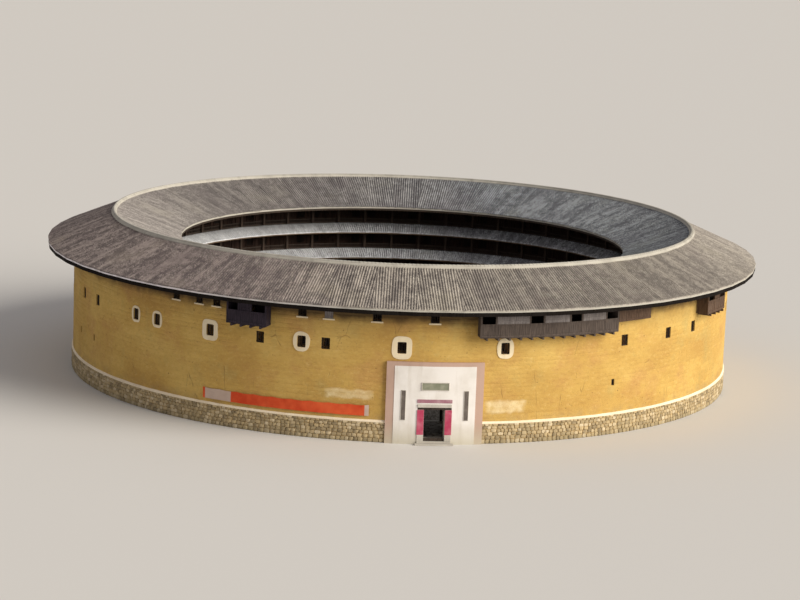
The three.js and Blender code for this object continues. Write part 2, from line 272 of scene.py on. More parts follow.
def around(bm, angles, change=None):
    """The mesh repeated at each angle round the house, each copy changed first if that is asked."""
    source = as_mesh(bm)
    made = bmesh.new()
    for angle in angles:
        moved = source.copy()
        if change:
            change(moved, angle)
        moved.transform(turn(angle))
        made.from_mesh(moved)
        bpy.data.meshes.remove(moved)
    bpy.data.meshes.remove(source)
    return made


def joined(*meshes):
    made = bmesh.new()
    for bm in meshes:
        part = as_mesh(bm)
        made.from_mesh(part)
        bpy.data.meshes.remove(part)
    return made


def half_bay(radius):
    """Half the straight width of a bay, given the radius of its corners."""
    return radius * FLAT * math.tan(math.radians(BAY / 2))


def length_round(start, end, radius):
    return math.radians(end - start) * radius


def bays(first=0, count=BAYS, step=1, offset=0.0):
    return [(first + offset + i * step) * BAY for i in range(count)]


def carve(bm, cutters):
    """The mesh with the cutters' solids taken out of it."""
    whole = add_object("whole", as_mesh(bm, "whole"))
    tools = add_object("cutters", as_mesh(cutters, "cutters"))
    cut = whole.modifiers.new("cut", "BOOLEAN")
    cut.operation = "DIFFERENCE"
    cut.solver = "EXACT"
    cut.object = tools
    shaped = whole.evaluated_get(bpy.context.evaluated_depsgraph_get())
    left = bmesh.new()
    left.from_mesh(shaped.to_mesh())
    for solid in (whole, tools):
        bpy.data.objects.remove(solid)
    return left


def place(bm, name, material, replaces=(), body="building", smooth=None):
    """Makes a finished mesh a piece of the house at the model's size."""
    bmesh.ops.scale(bm, vec=(SCALE, SCALE, SCALE), verts=bm.verts)
    mesh = as_mesh(bm, name)
    mesh.materials.append(material)
    if smooth is not None:
        mesh.shade_smooth()
        mesh.set_sharp_from_angle(angle=math.radians(smooth))
    piece = add_object(name, mesh)
    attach(piece, body)
    if replaces:
        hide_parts(*replaces)
    return piece


# Roof surfaces: how high each slope's upper face or underside is at a corner radius


def outer_top(radius):
    return RIDGE_Z - (radius - RIDGE_RADIUS) * (RIDGE_Z - EAVE_Z) / (EAVE_RADIUS - RIDGE_RADIUS)


def inner_top(radius):
    fall = (RIDGE_Z - INNER_EAVE_Z) / (RIDGE_RADIUS - INNER_EAVE_RADIUS)
    return RIDGE_Z - (RIDGE_RADIUS - radius) * fall


def outer_under(radius):
    return outer_top(radius) - ROOF_THICK


def inner_under(radius):
    return inner_top(radius) - ROOF_THICK


def skirt_top(floor):
    high = floor + SKIRT["above_floor"]
    fall = SKIRT["drop"] / (SKIRT["outer"] - SKIRT["inner"])
    return lambda radius: high - (SKIRT["outer"] - radius) * fall


# Finishes


class Finish:
    """A material built from nodes that read the piece's own coordinates."""

    def __init__(self, name, roughness=0.9):
        self.material = bpy.data.materials.new(name)
        self.material.use_nodes = True
        self.tree = self.material.node_tree
        self.shader = self.tree.nodes["Principled BSDF"]
        self.shader.inputs["Roughness"].default_value = roughness
        self.shader.inputs["Specular IOR Level"].default_value = 0.25
        self.object_space = self.node("ShaderNodeTexCoord").outputs["Object"]

    def node(self, kind, inputs=None, **settings):
        made = self.tree.nodes.new(kind)
        for key, value in settings.items():
            setattr(made, key, value)
        for key, value in (inputs or {}).items():
            self.feed(made.inputs[key], value)
        return made

    def feed(self, socket, value):
        if isinstance(value, bpy.types.NodeSocket):
            self.tree.links.new(value, socket)
        else:
            socket.default_value = value

    def stretched(self, scale, source=None):
        vector = source or self.object_space
        made = self.node("ShaderNodeMapping", {"Vector": vector, "Scale": scale})
        return made.outputs["Vector"]

    def noise(self, scale, detail=3.0, stretch=(1, 1, 1), source=None, rough=0.55):
        vector = self.stretched(stretch, source)
        inputs = {"Vector": vector, "Scale": scale, "Detail": detail, "Roughness": rough}
        return self.node("ShaderNodeTexNoise", inputs).outputs["Fac"]

    def ramp(self, value, stops):
        made = self.node("ShaderNodeValToRGB", {"Fac": value})
        band = made.color_ramp
        while len(band.elements) < len(stops):
            band.elements.new(0.5)
        for element, (position, colour) in zip(band.elements, stops):
            element.position = position
            element.color = (*colour, 1)
        return made.outputs["Color"]

    def span(self, value, low, high, to_low=0.0, to_high=1.0):
        inputs = {"Value": value, "From Min": low, "From Max": high, "To Min": to_low, "To Max": to_high}
        return self.node("ShaderNodeMapRange", inputs, clamp=True).outputs["Result"]

    def blend(self, base, layer, amount, mode="MIX"):
        made = self.node("ShaderNodeMix", data_type="RGBA", blend_type=mode)
        factor, first, second = made.inputs[0], made.inputs[6], made.inputs[7]
        for socket, value in ((factor, amount), (first, base), (second, layer)):
            if isinstance(value, tuple) and len(value) == 3:
                value = (*value, 1)
            self.feed(socket, value)
        return made.outputs[2]

    def wash(self, base, layer, value, low, high, strength=1):
        """A layer that comes in between two values of a pattern, up to its strength."""
        return self.blend(base, layer, self.span(value, low, high, 0, strength))

    def maths(self, operation, *values):
        made = self.node("ShaderNodeMath", dict(enumerate(values)), operation=operation)
        return made.outputs[0]

    def plus(self, first, second):
        return self.maths("ADD", first, second)

    def times(self, first, second):
        return self.maths("MULTIPLY", first, second)

    def vector(self, operation, *values):
        made = self.node("ShaderNodeVectorMath", dict(enumerate(values)), operation=operation)
        return made.outputs["Value" if operation == "LENGTH" else "Vector"]

    def axis(self, letter, source=None):
        split = self.node("ShaderNodeSeparateXYZ", {"Vector": source or self.object_space})
        return split.outputs[letter]

    def chance(self, cell):
        """A random number for each whole cell."""
        inputs = {"Vector": cell}
        return self.node("ShaderNodeTexWhiteNoise", inputs, noise_dimensions="3D").outputs["Value"]

    def cells(self, vector, feature="F1"):
        inputs = {"Vector": vector, "Scale": 1.0}
        return self.node("ShaderNodeTexVoronoi", inputs, feature=feature).outputs

    def round_the_ring(self, radius, floor):
        """A flat vector for patterns that run round the house: metres along, and up from a level."""
        back = self.stretched((1, -1, 1))
        angle = self.maths("ARCTAN2", self.axis("X", back), self.axis("Y", back))
        along = self.times(angle, radius * SCALE)
        up = self.maths("SUBTRACT", self.axis("Z"), floor * SCALE)
        return self.node("ShaderNodeCombineXYZ", {"X": along, "Y": up}).outputs["Vector"]

    def wavering(self, vector, scale, amount):
        """The same vector pushed about a little, so that straight lines drawn on it wander."""
        inputs = {"Vector": vector, "Scale": scale, "Detail": 3.0}
        drift = self.node("ShaderNodeTexNoise", inputs).outputs["Color"]
        return self.vector("MULTIPLY_ADD", drift, (amount, amount, amount), vector)

    def marks(self, vector, across, up, size, share):
        """Small round marks on a grid of the given spacing, with only a share of them kept."""
        spread = self.vector("MULTIPLY", vector, (1 / across, 1 / up, 1))
        chance = self.chance(self.vector("FLOOR", spread))
        offset = self.vector("SUBTRACT", self.vector("FRACTION", spread), (0.5, 0.5, 0))
        reach = self.vector("LENGTH", self.vector("MULTIPLY", offset, (across, up, 0)))
        kept = self.span(chance, share, share - 0.02)
        return self.times(self.span(reach, size, size * 0.6), kept)

    def panel(self, vector, middle, half):
        """A soft-edged panel on a flat vector, given its middle and half its size."""
        reach = self.vector("ABSOLUTE", self.vector("SUBTRACT", vector, (*middle, 0)))
        across = self.span(self.axis("X", reach), half[0], half[0] - 0.2)
        up = self.span(self.axis("Y", reach), half[1], half[1] - 0.12)
        return self.times(across, up)

    def attribute(self, name):
        return self.node("ShaderNodeAttribute", attribute_name=name).outputs["Fac"]

    def done(self, colour, height=None, strength=0.5, distance=0.01):
        self.feed(self.shader.inputs["Base Color"], colour)
        if height is not None:
            inputs = {"Height": height, "Strength": strength, "Distance": distance}
            bump = self.node("ShaderNodeBump", inputs)
            self.feed(self.shader.inputs["Normal"], bump.outputs["Normal"])
        return self.material


def earth_tone(look):
    """Golden earth in broad clouds, warmer here and drabber there."""
    golds = [(0.32, (0.50, 0.30, 0.08)), (0.5, (0.60, 0.385, 0.105)), (0.68, (0.68, 0.465, 0.14))]
    tone = look.ramp(look.noise(0.3, 5, (1, 1, 1.6)), golds)
    warmth = look.noise(0.5, 6, rough=0.65)
    tone = look.wash(tone, (0.51, 0.27, 0.10), warmth, 0.53, 0.7, 0.6)
    return look.wash(tone, (0.43, 0.35, 0.13), warmth, 0.46, 0.3, 0.5)


def earth_lifts(look, face):
    """The tone of each length of rammed earth, and the joints between them."""
    inputs = {
        "Vector": look.wavering(face, 1.4, 0.06), "Color1": (0, 0, 0, 1), "Color2": (1, 1, 1, 1),
        "Scale": 1.0, "Mortar Size": 0.007, "Mortar Smooth": 1.0, "Bias": 0.0,
        "Brick Width": 2.7, "Row Height": COURSE * SCALE,
    }
    lifts = look.node("ShaderNodeTexBrick", inputs)
    ragged = look.span(look.noise(1.1, 5), 0.47, 0.66)
    return look.axis("X", lifts.outputs["Color"]), look.times(lifts.outputs["Fac"], ragged)


def weather_and_eave_shade(look, tone):
    """Damp streaks under the eave, deepened there as painted shade, a painted shadow band under the eave,
    splashes above the plinth and pale scars.
    """
    streaks = look.noise(2.2, 3, (1, 1, 0.09))
    near_eave = look.span(look.axis("Z"), 4.7, 6.3)
    # The dark streaks under the eave are partly damp staining, partly painted shade of the eave.
    damp_and_eave_shade = look.times(look.span(streaks, 0.42, 0.72, 0.3, 0.8), near_eave)
    tone = look.blend(tone, (0.27, 0.155, 0.07), damp_and_eave_shade)
    # A near-black band at the top of the wall is painted shadow of the eave.
    painted_eave_shadow = look.plus(look.axis("Z"), look.times(look.noise(1.6, 4), 0.5))
    tone = look.wash(tone, (0.05, 0.031, 0.018), painted_eave_shadow, 5.6, 6.0, 0.85)
    low = look.span(look.axis("Z"), 1.5, 0.95)
    splash = look.times(look.span(look.noise(1.9, 5), 0.4, 0.65), low)
    tone = look.blend(tone, (0.36, 0.25, 0.12), look.times(splash, 0.55))
    return look.wash(tone, (0.70, 0.55, 0.27), look.noise(1.3, 6, rough=0.7), 0.66, 0.74, 0.5)


def limewashed_earth(look, tone, face):
    """Two faded patches of limewash, one on each side of the gate."""
    ragged = look.wavering(face, 2.5, 0.3)
    right = look.panel(ragged, (3.45, 0.9), (1.0, 0.34))
    left = look.panel(ragged, (-3.7, 1.35), (1.15, 0.26))
    worn = look.span(look.noise(2.6, 4), 0.36, 0.64, 0.3, 0.75)
    return look.blend(tone, (0.84, 0.70, 0.42), look.times(look.maths("MAXIMUM", right, left), worn))


def earth_damage(look, face):
    """Cracks that open here and there, peg holes along the lifts, and small pits."""
    torn = look.wavering(look.wavering(look.stretched((0.5, 0.5, 0.2)), 1.2, 0.26), 9.0, 0.04)
    edge = look.cells(torn, "DISTANCE_TO_EDGE")["Distance"]
    opened = look.span(look.noise(0.8, 3), 0.55, 0.66)
    cracks = look.times(look.span(edge, 0.006, 0.002), opened)
    holes = look.marks(look.wavering(face, 0.6, 0.9), 1.5, 0.62, 0.032, 0.3)
    pits = look.span(look.noise(15, 3), 0.66, 0.74)
    return look.maths("MAXIMUM", pits, look.maths("MAXIMUM", holes, cracks))


def earth_finish():
    """Rammed earth with its lifts, weather, painted shade under the eave, limewash, cracks and pits."""
    look = Finish("rammed_earth", 0.95)
    face = look.round_the_ring(WALL_FACE, PLINTH_TOP)
    own, joints = earth_lifts(look, face)
    tone = look.wash(earth_tone(look), (0.45, 0.27, 0.075), own, 0.0, 1.0, 0.22)
    mottle = look.noise(4.5, 6, (1, 1, 1.7), rough=0.75)
    tone = look.wash(tone, (0.37, 0.21, 0.07), mottle, 0.52, 0.74, 0.5)
    tone = look.wash(tone, (0.72, 0.53, 0.21), mottle, 0.46, 0.28, 0.5)
    tone = look.wash(tone, (0.32, 0.19, 0.07), joints, 0.0, 1.0, 0.32)
    tone = limewashed_earth(look, weather_and_eave_shade(look, tone), face)
    damage = earth_damage(look, face)
    tone = look.blend(tone, (0.20, 0.115, 0.045), look.times(damage, 0.6))
    height = look.plus(look.noise(11, 6, rough=0.7), mottle)
    height = look.maths("SUBTRACT", height, look.times(joints, 0.35))
    height = look.maths("SUBTRACT", height, damage)
    return look.done(tone, height, 0.6, 0.03)


def rubble_finish():
    """River stones bedded in earth mortar, each stone its own tone."""
    look = Finish("rubble", 0.9)
    own = look.attribute("stone_tone")
    tones = [(0.27, 0.21, 0.125), (0.39, 0.305, 0.175), (0.51, 0.395, 0.22), (0.64, 0.54, 0.37)]
    stones = look.ramp(own, list(zip((0.0, 0.35, 0.7, 1.0), tones)))
    grain = look.noise(14, 4)
    stones = look.wash(stones, (0.20, 0.155, 0.11), grain, 0.5, 0.8, 0.45)
    stones = look.wash(stones, (0.60, 0.46, 0.26), look.noise(5, 4), 0.45, 0.7, 0.5)
    mortar = look.blend((0.60, 0.44, 0.21), (0.42, 0.29, 0.13), look.noise(5, 3))
    tone = look.wash(mortar, stones, own, MORTAR_TONE * 0.6, MORTAR_TONE * 0.4)
    tone = look.wash(tone, (0.25, 0.215, 0.13), look.noise(0.8, 4), 0.54, 0.76, 0.4)
    tone = look.wash(tone, (0.22, 0.19, 0.12), look.axis("Z"), 0.3, 0.0, 0.45)
    return look.done(tone, grain, 0.45, 0.02)


def dressed_stone_finish():
    look = Finish("dressed_stone", 0.75)
    tone = look.ramp(look.noise(1.4, 4), [(0.3, (0.42, 0.39, 0.34)), (0.7, (0.60, 0.57, 0.51))])
    grain = look.noise(40, 3)
    tone = look.wash(tone, (0.26, 0.24, 0.21), grain, 0.55, 0.75, 0.6)
    return look.done(tone, grain, 0.35, 0.006)


def paving_finish(name, stone, pale, dark, joint):
    """Stones set in earth: a cell pattern for the stones, its edges for the joints."""
    look = Finish(name, 0.9)
    spread = look.stretched((stone, stone, stone))
    stones = look.ramp(look.axis("X", look.cells(spread)["Color"]), [(0.1, dark), (0.9, pale)])
    stones = look.wash(stones, dark, look.noise(0.25, 5), 0.45, 0.7, 0.7)
    rise = look.span(look.cells(spread, "DISTANCE_TO_EDGE")["Distance"], 0.02, 0.14)
    return look.done(look.blend(joint, stones, rise), look.plus(rise, look.noise(30, 2)), 0.7, 0.02)


def plaster_finish(name, clean, stain):
    look = Finish(name, 0.85)
    tone = look.wash(clean, stain, look.noise(0.9, 5), 0.45, 0.75, 0.55)
    tone = look.wash(tone, stain, look.noise(3, 3, (1, 1, 0.12)), 0.55, 0.8, 0.6)
    tone = look.wash(tone, (0.50, 0.46, 0.35), look.axis("Z"), 1.0, 0.1, 0.75)
    return look.done(tone, look.noise(18, 4), 0.3, 0.01)


def eave_mortar_finish():
    """Lime mortar painted whiter towards -X, on the shaded side, as painted light, and greyer on the
    sunlit side.
    """
    look = Finish("eave_mortar", 0.85)
    # Whiter towards -X is painted light on the shaded side of the eave.
    side = look.plus(look.axis("X"), look.noise(0.5, 3))
    tone = look.wash((0.88, 0.83, 0.86), (0.46, 0.44, 0.385), side, -13, -3)
    tone = look.wash(tone, (0.27, 0.25, 0.225), look.noise(1.5, 5), 0.5, 0.7, 0.55)
    return look.done(tone, look.noise(18, 4), 0.3, 0.01)


def wood_finish(name, dark, light, grain=(9, 9, 0.7), weather=0.35, gloss=0.25):
    """Boards with grain along their length, and each board a little apart in tone."""
    look = Finish(name, 0.8)
    look.shader.inputs["Specular IOR Level"].default_value = gloss
    fibres = look.noise(3.2, 5, grain)
    tone = look.wash(dark, light, fibres, 0.3, 0.7)
    tone = look.wash(tone, dark, look.noise(1.7, 3), 0.45, 0.75, weather * 2)
    worn = tuple(part * 0.75 + 0.06 for part in light)
    tone = look.wash(tone, worn, look.noise(0.9, 4), 0.5, 0.8, weather)
    return look.done(tone, fibres, 0.45, 0.008)


def tile_tone(look, shades, place_of):
    """Each tile its own grey, with runs of dark and pale tiles, damp ones and lichen."""
    tone = look.ramp(look.chance(place_of), list(zip((0.0, 0.4, 0.8, 1.0), shades)))
    runs = look.noise(0.12, 5, (1, 0.15, 1), place_of, 0.7)
    tone = look.wash(tone, shades[0], runs, 0.52, 0.6, 0.85)
    tone = look.wash(tone, shades[3], runs, 0.48, 0.4, 0.85)
    mottle = look.noise(0.15, 5, (1, 1, 1), place_of, 0.7)
    tone = look.wash(tone, (0.12, 0.105, 0.10), mottle, 0.53, 0.64, 0.7)
    tone = look.wash(tone, (0.58, 0.54, 0.47), mottle, 0.46, 0.36, 0.6)
    patches = look.noise(0.4, 4)
    tone = look.wash(tone, (0.21, 0.175, 0.17), patches, 0.53, 0.68, 0.4)
    return look.wash(tone, (0.46, 0.42, 0.33), patches, 0.44, 0.3, 0.4)


def tile_finish(name, bleach, painted_light_tint, sunlit_side, shade_from, shade_full, shade, pale):
    """Clay tiles with a painted light tint over them all, one side darkened as painted shade and the
    other made paler as painted sunlight.
    """
    look = Finish(name, 0.88)
    shades = [tuple(part * bleach for part in grey) for grey in TILE_GREYS]
    rows = look.node("ShaderNodeUVMap", uv_map="tiles").outputs["UV"]
    tone = tile_tone(look, shades, look.vector("FLOOR", rows))
    toward_light = look.times(look.axis("X"), sunlit_side)
    # The side of the slope turned from the light is multiplied darker: painted shade.
    tone = look.blend(tone, shade, look.span(toward_light, shade_from, shade_full), "MULTIPLY")
    # The side of the slope turned to the light is washed paler: painted sunlight.
    tone = look.wash(tone, shades[3], toward_light, -6, 8, pale)
    # A tint over the whole slope stands in for the colour of the light on it: painted light.
    tone = look.blend(tone, painted_light_tint, 1.0, "MULTIPLY")
    lap = look.maths("FRACT", look.axis("Y", rows))
    # The dark band at the end of each course is painted shade under the lapped tile above.
    tone = look.wash(tone, (0.07, 0.066, 0.062), lap, 0.86, 1.0, 0.8)
    height = look.plus(lap, look.times(look.noise(14, 3), 0.3))
    return look.done(tone, height, 0.6, 0.012)


def cloth_finish():
    look = Finish("red_cotton", 0.9)
    weave = look.noise(120, 2)
    faded = look.noise(1.1, 4)
    red = look.ramp(faded, [(0.3, (0.56, 0.045, 0.012)), (0.7, (0.77, 0.13, 0.04))])
    pale = look.blend((0.62, 0.50, 0.42), (0.50, 0.36, 0.29), look.noise(1.8, 4))
    length = look.attribute("length")
    left = look.times(look.span(length, 0.014, 0.018), look.span(length, 0.19, 0.186))
    ends = look.plus(left, look.span(length, 0.974, 0.978))
    return look.done(look.blend(red, pale, ends), weave, 0.2, 0.002)


def plain_finish(name, colour, worn, roughness=0.85):
    look = Finish(name, roughness)
    tone = look.wash(colour, worn, look.noise(3.5, 5), 0.42, 0.7, 0.7)
    return look.done(tone, look.noise(45, 3), 0.2, 0.003)


# Multipliers for the painted shade on the side of a slope turned from the light.
PAINTED_SHADE_TINT = (0.60, 0.555, 0.60)
COOL_PAINTED_SHADE_TINT = (0.65, 0.76, 0.88)

EARTH = earth_finish()
RUBBLE = rubble_finish()
DRESSED_STONE = dressed_stone_finish()
SLABS = paving_finish("stone_slabs", 3.0, (0.34, 0.32, 0.28), (0.20, 0.185, 0.16), (0.10, 0.085, 0.065))
COBBLES = paving_finish("cobbles", 7.0, (0.40, 0.37, 0.32), (0.21, 0.195, 0.17), (0.12, 0.10, 0.075))
PLASTER = plaster_finish("lime_plaster", (0.83, 0.80, 0.77), (0.58, 0.53, 0.46))
BORDER = plaster_finish("pink_border", (0.52, 0.36, 0.29), (0.40, 0.275, 0.215))
FILLET = plaster_finish("fillet_mortar", (0.92, 0.80, 0.61), (0.70, 0.56, 0.38))
CREAM = plaster_finish("cream_limewash", (0.84, 0.73, 0.52), (0.66, 0.53, 0.32))
TIMBER = wood_finish("fir_boards", (0.075, 0.034, 0.018), (0.20, 0.095, 0.05))
# Room fronts and gallery posts: dark brown fir, darkened further as painted shade of the deep galleries,
# the room fronts most.
ROOM_BOARDS = wood_finish("fir_darkened_as_shade", (0.02, 0.011, 0.008), (0.066, 0.034, 0.023), weather=0.12)
POSTS = wood_finish("fir_posts", (0.03, 0.02, 0.015), (0.085, 0.056, 0.04), weather=0.2)
OLD_TIMBER = wood_finish("old_fir", (0.022, 0.016, 0.012), (0.07, 0.05, 0.038), weather=0.15)
GREY_BOARDS = wood_finish("weathered_boards", (0.12, 0.105, 0.102), (0.30, 0.27, 0.26), weather=0.3)
PARAPET_BOARDS = wood_finish("parapet_boards", (0.045, 0.034, 0.029), (0.125, 0.096, 0.08), weather=0.25)
# Near-black, purple-tinged boards for the left lookout.
DARK_BOARDS = wood_finish("dark_purple_boards", (0.012, 0.009, 0.014), (0.055, 0.04, 0.058), weather=0.12)
BROWN_BOARDS = wood_finish("brown_boards", (0.05, 0.028, 0.018), (0.16, 0.10, 0.065), weather=0.3)
# Near-black boards as painted shade: the shaded underside of the outer eave, and the dark inside the
# lookouts.
SHADE_BLACKS = ((0.005, 0.004, 0.0035), (0.016, 0.012, 0.01))
SHADE_BLACK_BOARDS = wood_finish("shade_black_boards", *SHADE_BLACKS, weather=0.1, gloss=0.06)
RAFTERS = wood_finish("rafter_poles", (0.09, 0.06, 0.04), (0.21, 0.15, 0.10), (3, 3, 3))
# The three tile finishes are one clay tile with their painted light and shade set apart: the tint of the
# light, the sunlit side, where the painted shade falls and its tint, and how pale the sunlit side is.
OUTER_TILES = tile_finish("outer_clay_tiles", 1.0, (1, 1, 1), 1, -1, -9, PAINTED_SHADE_TINT, 0.28)
INNER_TILES = tile_finish("inner_clay_tiles", 1.0, (0.85, 0.86, 0.92), -1, 6, -6, COOL_PAINTED_SHADE_TINT, 0.3)
SKIRT_TILES = tile_finish("skirt_clay_tiles", 1.85, (0.94, 1.06, 1.26), -1, -20, -30, PAINTED_SHADE_TINT, 0.6)
MORTAR = plaster_finish("lime_mortar", (0.50, 0.475, 0.415), (0.27, 0.25, 0.215))
RIDGE_TILE = plaster_finish("limed_ridge_tile", (0.46, 0.44, 0.39), (0.24, 0.225, 0.195))
EAVE_MORTAR = eave_mortar_finish()
CLOTH = cloth_finish()
TABLET = plain_finish("blank_tablet", (0.22, 0.23, 0.165), (0.36, 0.36, 0.28))
DARK_TABLET = plain_finish("dark_tablet", (0.12, 0.10, 0.088), (0.22, 0.19, 0.165))
RED_PAPER = plain_finish("red_paper", (0.44, 0.05, 0.11), (0.56, 0.19, 0.25))
FADED_PAPER = plain_finish("faded_paper", (0.34, 0.16, 0.20), (0.50, 0.33, 0.35))
IRON = plain_finish("gate_iron", (0.035, 0.032, 0.03), (0.12, 0.07, 0.045), 0.55)
# Near-black sheets behind window bars: painted shade of the rooms inside.
WINDOW_SHADE_BLACK = plain_finish("window_painted_shade", (0.012, 0.010, 0.009), (0.03, 0.025, 0.02))


# Earth wall


def clear_of_lookouts(angle):
    return all(angle < start - 1 or angle > end + 1 for _, start, end in LOOKOUTS)


def wall_windows():
    """Every hole through the earth wall, as (angle, its kind)."""
    third = FRONT_WINDOWS_3 + [bay * BAY for bay in BACK_BAYS[::2]]
    fourth = FRONT_WINDOWS_4 + [bay * BAY for bay in BACK_BAYS[1::2] if clear_of_lookouts(bay * BAY)]
    holes = [(angle, WINDOW_3) for angle in third]
    holes += [(angle, WINDOW_4) for angle in fourth]
    return holes + [(angle, LOOPHOLE) for angle in LOOPHOLES]


def through_wall(half, low, high, bevel=0.0):
    """A bar that cuts an opening through the wall at the gate's side."""
    return shape(((-half, half), (-WALL_OUTER - 1, -WALL_INNER + 1), (low, high)), bevel=bevel)


def wall_cutters():
    """Solids for the windows, splayed a little by wear, the lookout doors and the gate."""
    holes = []
    for angle, kind in wall_windows():
        low, high = kind["sill"], kind["sill"] + kind["height"]
        holes.append(around(through_wall(kind["width"] / 2, low, high, bevel=0.03), [angle]))
    for _, start, end in LOOKOUTS:
        door = through_wall(LOOKOUT_DOOR["half"], FLOORS[2], FLOORS[2] + LOOKOUT_DOOR["height"])
        holes.append(around(door, [(start + end) / 2]))
    holes.append(through_wall(GATE["frame_half"], -1, GATE["frame_top"]))
    return joined(*holes)


def wall_section():
    """The wall's outline in (radius, height), with a shallow groove at each lift of earth."""
    top = outer_under(WALL_FACE) - 0.02
    outer = [(WALL_FACE, PLINTH_TOP)]
    level = PLINTH_TOP + COURSE
    while level < top - 0.2:
        outer += [(WALL_FACE, level - 0.03), (WALL_FACE - GROOVE, level), (WALL_FACE, level + 0.03)]
        level += COURSE
    outer.append((WALL_FACE, top))
    back = WALL_INNER - 0.02
    return [(back, PLINTH_TOP), *outer, (back, outer_under(back) - 0.02)]


def weather_wall(ring):
    """Swells the outer face gently, and wears some of the grooves away."""
    for vert in ring.verts:
        radius = math.hypot(vert.co.x, vert.co.y)
        if radius > WALL_INNER + 0.2:
            spot = Vector((vert.co.x * 0.35, vert.co.y * 0.35, vert.co.z * 1.1))
            swell = 0.022 * noise.noise(spot) + 0.014 * noise.noise(spot * 4)
            if radius < WALL_FACE - GROOVE / 2:
                swell += GROOVE * min(1, max(0, 0.5 + 2 * noise.noise(spot * 0.9)))
            vert.co.xy *= 1 + swell / radius
            vert.co.z += 0.02 * noise.noise(spot * 1.7)


def make_earth_wall():
    steps_a_bay = 5
    bay = arc(wall_section(), -BAY / 2, BAY / 2, steps_a_bay)
    ends = [face for face in bay.faces if len(face.verts) > 4]
    bmesh.ops.delete(bay, geom=ends, context="FACES")
    ring = around(bay, bays())
    bmesh.ops.remove_doubles(ring, verts=ring.verts, dist=0.002)
    bmesh.ops.recalc_face_normals(ring, faces=ring.faces)
    weather_wall(ring)
    wall = carve(ring, wall_cutters())
    nodes = [f"wall_segment_{i}" for i in range(1, 8)]
    nodes += ["wall_over_gate", "gate_wall_left", "gate_wall_right"]
    place(wall, "earth_wall", EARTH, nodes, smooth=25)


def window_frame(kind):
    """A timber frame with upright bars, set a hand's breadth inside the wall's face."""
    half, tall, rim, depth = kind["width"] / 2, kind["height"], 0.07, (0.12, 0.24)
    bars = [(x, depth, (0, tall)) for x in ((-half, -half + rim), (half - rim, half))]
    bars += [((-half, half), depth, z) for z in ((0, rim), (tall - rim, tall))]
    count = max(1, round(kind["width"] / 0.2) - 1)
    for i in range(count):
        x = -half + kind["width"] * (i + 1) / (count + 1)
        bars.append(((x - 0.02, x + 0.02), (0.15, 0.21), (0, tall)))
    return shape(*bars, at=(0, -WALL_FACE, kind["sill"]))


def make_windows():
    frames = [around(window_frame(kind), [angle]) for angle, kind in wall_windows()]
    place(joined(*frames), "wall_window_frames", OLD_TIMBER)
    sill = ((-0.55, 0.55), (-0.06, 0.2), (-0.14, 0))
    sill = shape(sill, bevel=0.02, at=(0, -WALL_FACE, WINDOW_4["sill"]))
    angles = [angle for angle, kind in wall_windows() if kind is WINDOW_4]
    place(around(sill, angles), "window_sills", CREAM)


def hand_laid_loop(bm, half_width, half_height, middle, squareness, wobble, seed):
    """A ring of edges on the wall's face, between round and square, and a little uneven."""
    made = bmesh.ops.create_circle(bm, segments=32, radius=1, cap_ends=False)["verts"]
    for vert in made:
        x, z = vert.co.x, vert.co.y
        reach = (abs(x) ** squareness + abs(z) ** squareness) ** (-1 / squareness)
        uneven = 1 + wobble * noise.noise(Vector((x * 1.7, z * 1.7, seed)))
        vert.co = (
            x * reach * half_width * uneven,
            -WALL_FACE - 0.045,
            middle + z * reach * half_height * uneven,
        )
    return list({edge for vert in made for edge in vert.link_edges})


def surround(kind, ring, seed):
    """A hand-laid plaster ring round a window: rounded outside by more or less, square inside."""
    bm = bmesh.new()
    half_width, half_height = kind["width"] / 2, kind["height"] / 2
    middle = kind["sill"] + half_height
    rounding = 2.3 + 1.6 * (0.5 + 0.5 * math.sin(seed))
    loops = hand_laid_loop(bm, half_width + ring, half_height + ring, middle, rounding, 0.05, seed)
    loops += hand_laid_loop(bm, half_width + 0.01, half_height + 0.01, middle, 14, 0, seed)
    bmesh.ops.bridge_loops(bm, edges=loops)
    raised = bmesh.ops.extrude_face_region(bm, geom=bm.faces[:])["geom"]
    backs = [item for item in raised if isinstance(item, bmesh.types.BMVert)]
    bmesh.ops.translate(bm, vec=(0, 0.09, 0), verts=backs)
    bmesh.ops.recalc_face_normals(bm, faces=bm.faces)
    return bm


def make_surrounds():
    rings = []
    for i, (angle, reach) in enumerate(SURROUNDS):
        rings.append(around(surround(WINDOW_3, reach, i * 3.7), [angle]))
    place(joined(*rings), "window_surrounds", CREAM, smooth=40)


def make_shutter():
    half, low, high = WINDOW_4["width"] / 2, 0.02, WINDOW_4["height"] - 0.02
    planks = planks_across(-half + 0.006, half - 0.014, 4, 0.004)
    bars = [(x, (0.02, 0.06), (low, high)) for x in planks]
    ledge = (-half + 0.02, half - 0.02)
    bars += [(ledge, (-0.015, 0.02), (z - 0.04, z + 0.04)) for z in (low + 0.15, high - 0.15)]
    shutter = shape(*bars, at=(0, -WALL_FACE, WINDOW_4["sill"]))
    place(around(shutter, [SHUTTERED_WINDOW]), "window_shutter", GREY_BOARDS)


# Plinth


def stone_shapes():
    """A few rough, rounded blocks 1 m across, to be scaled to the stones of the plinth."""
    shapes = []
    for i in range(7):
        bm = bmesh.new()
        bmesh.ops.create_cube(bm, size=1)
        bmesh.ops.subdivide_edges(bm, edges=bm.edges[:], cuts=1, use_grid_fill=True)
        bm.verts.layers.float.new("stone_tone")
        for vert in bm.verts:
            vert.co *= (0.5 / vert.co.length) ** 0.55
            vert.co += 0.13 * noise.noise_vector(vert.co * 1.9 + Vector((i * 9.1, 0, 0)))
        shapes.append(as_mesh(bm, "stone"))
    return shapes


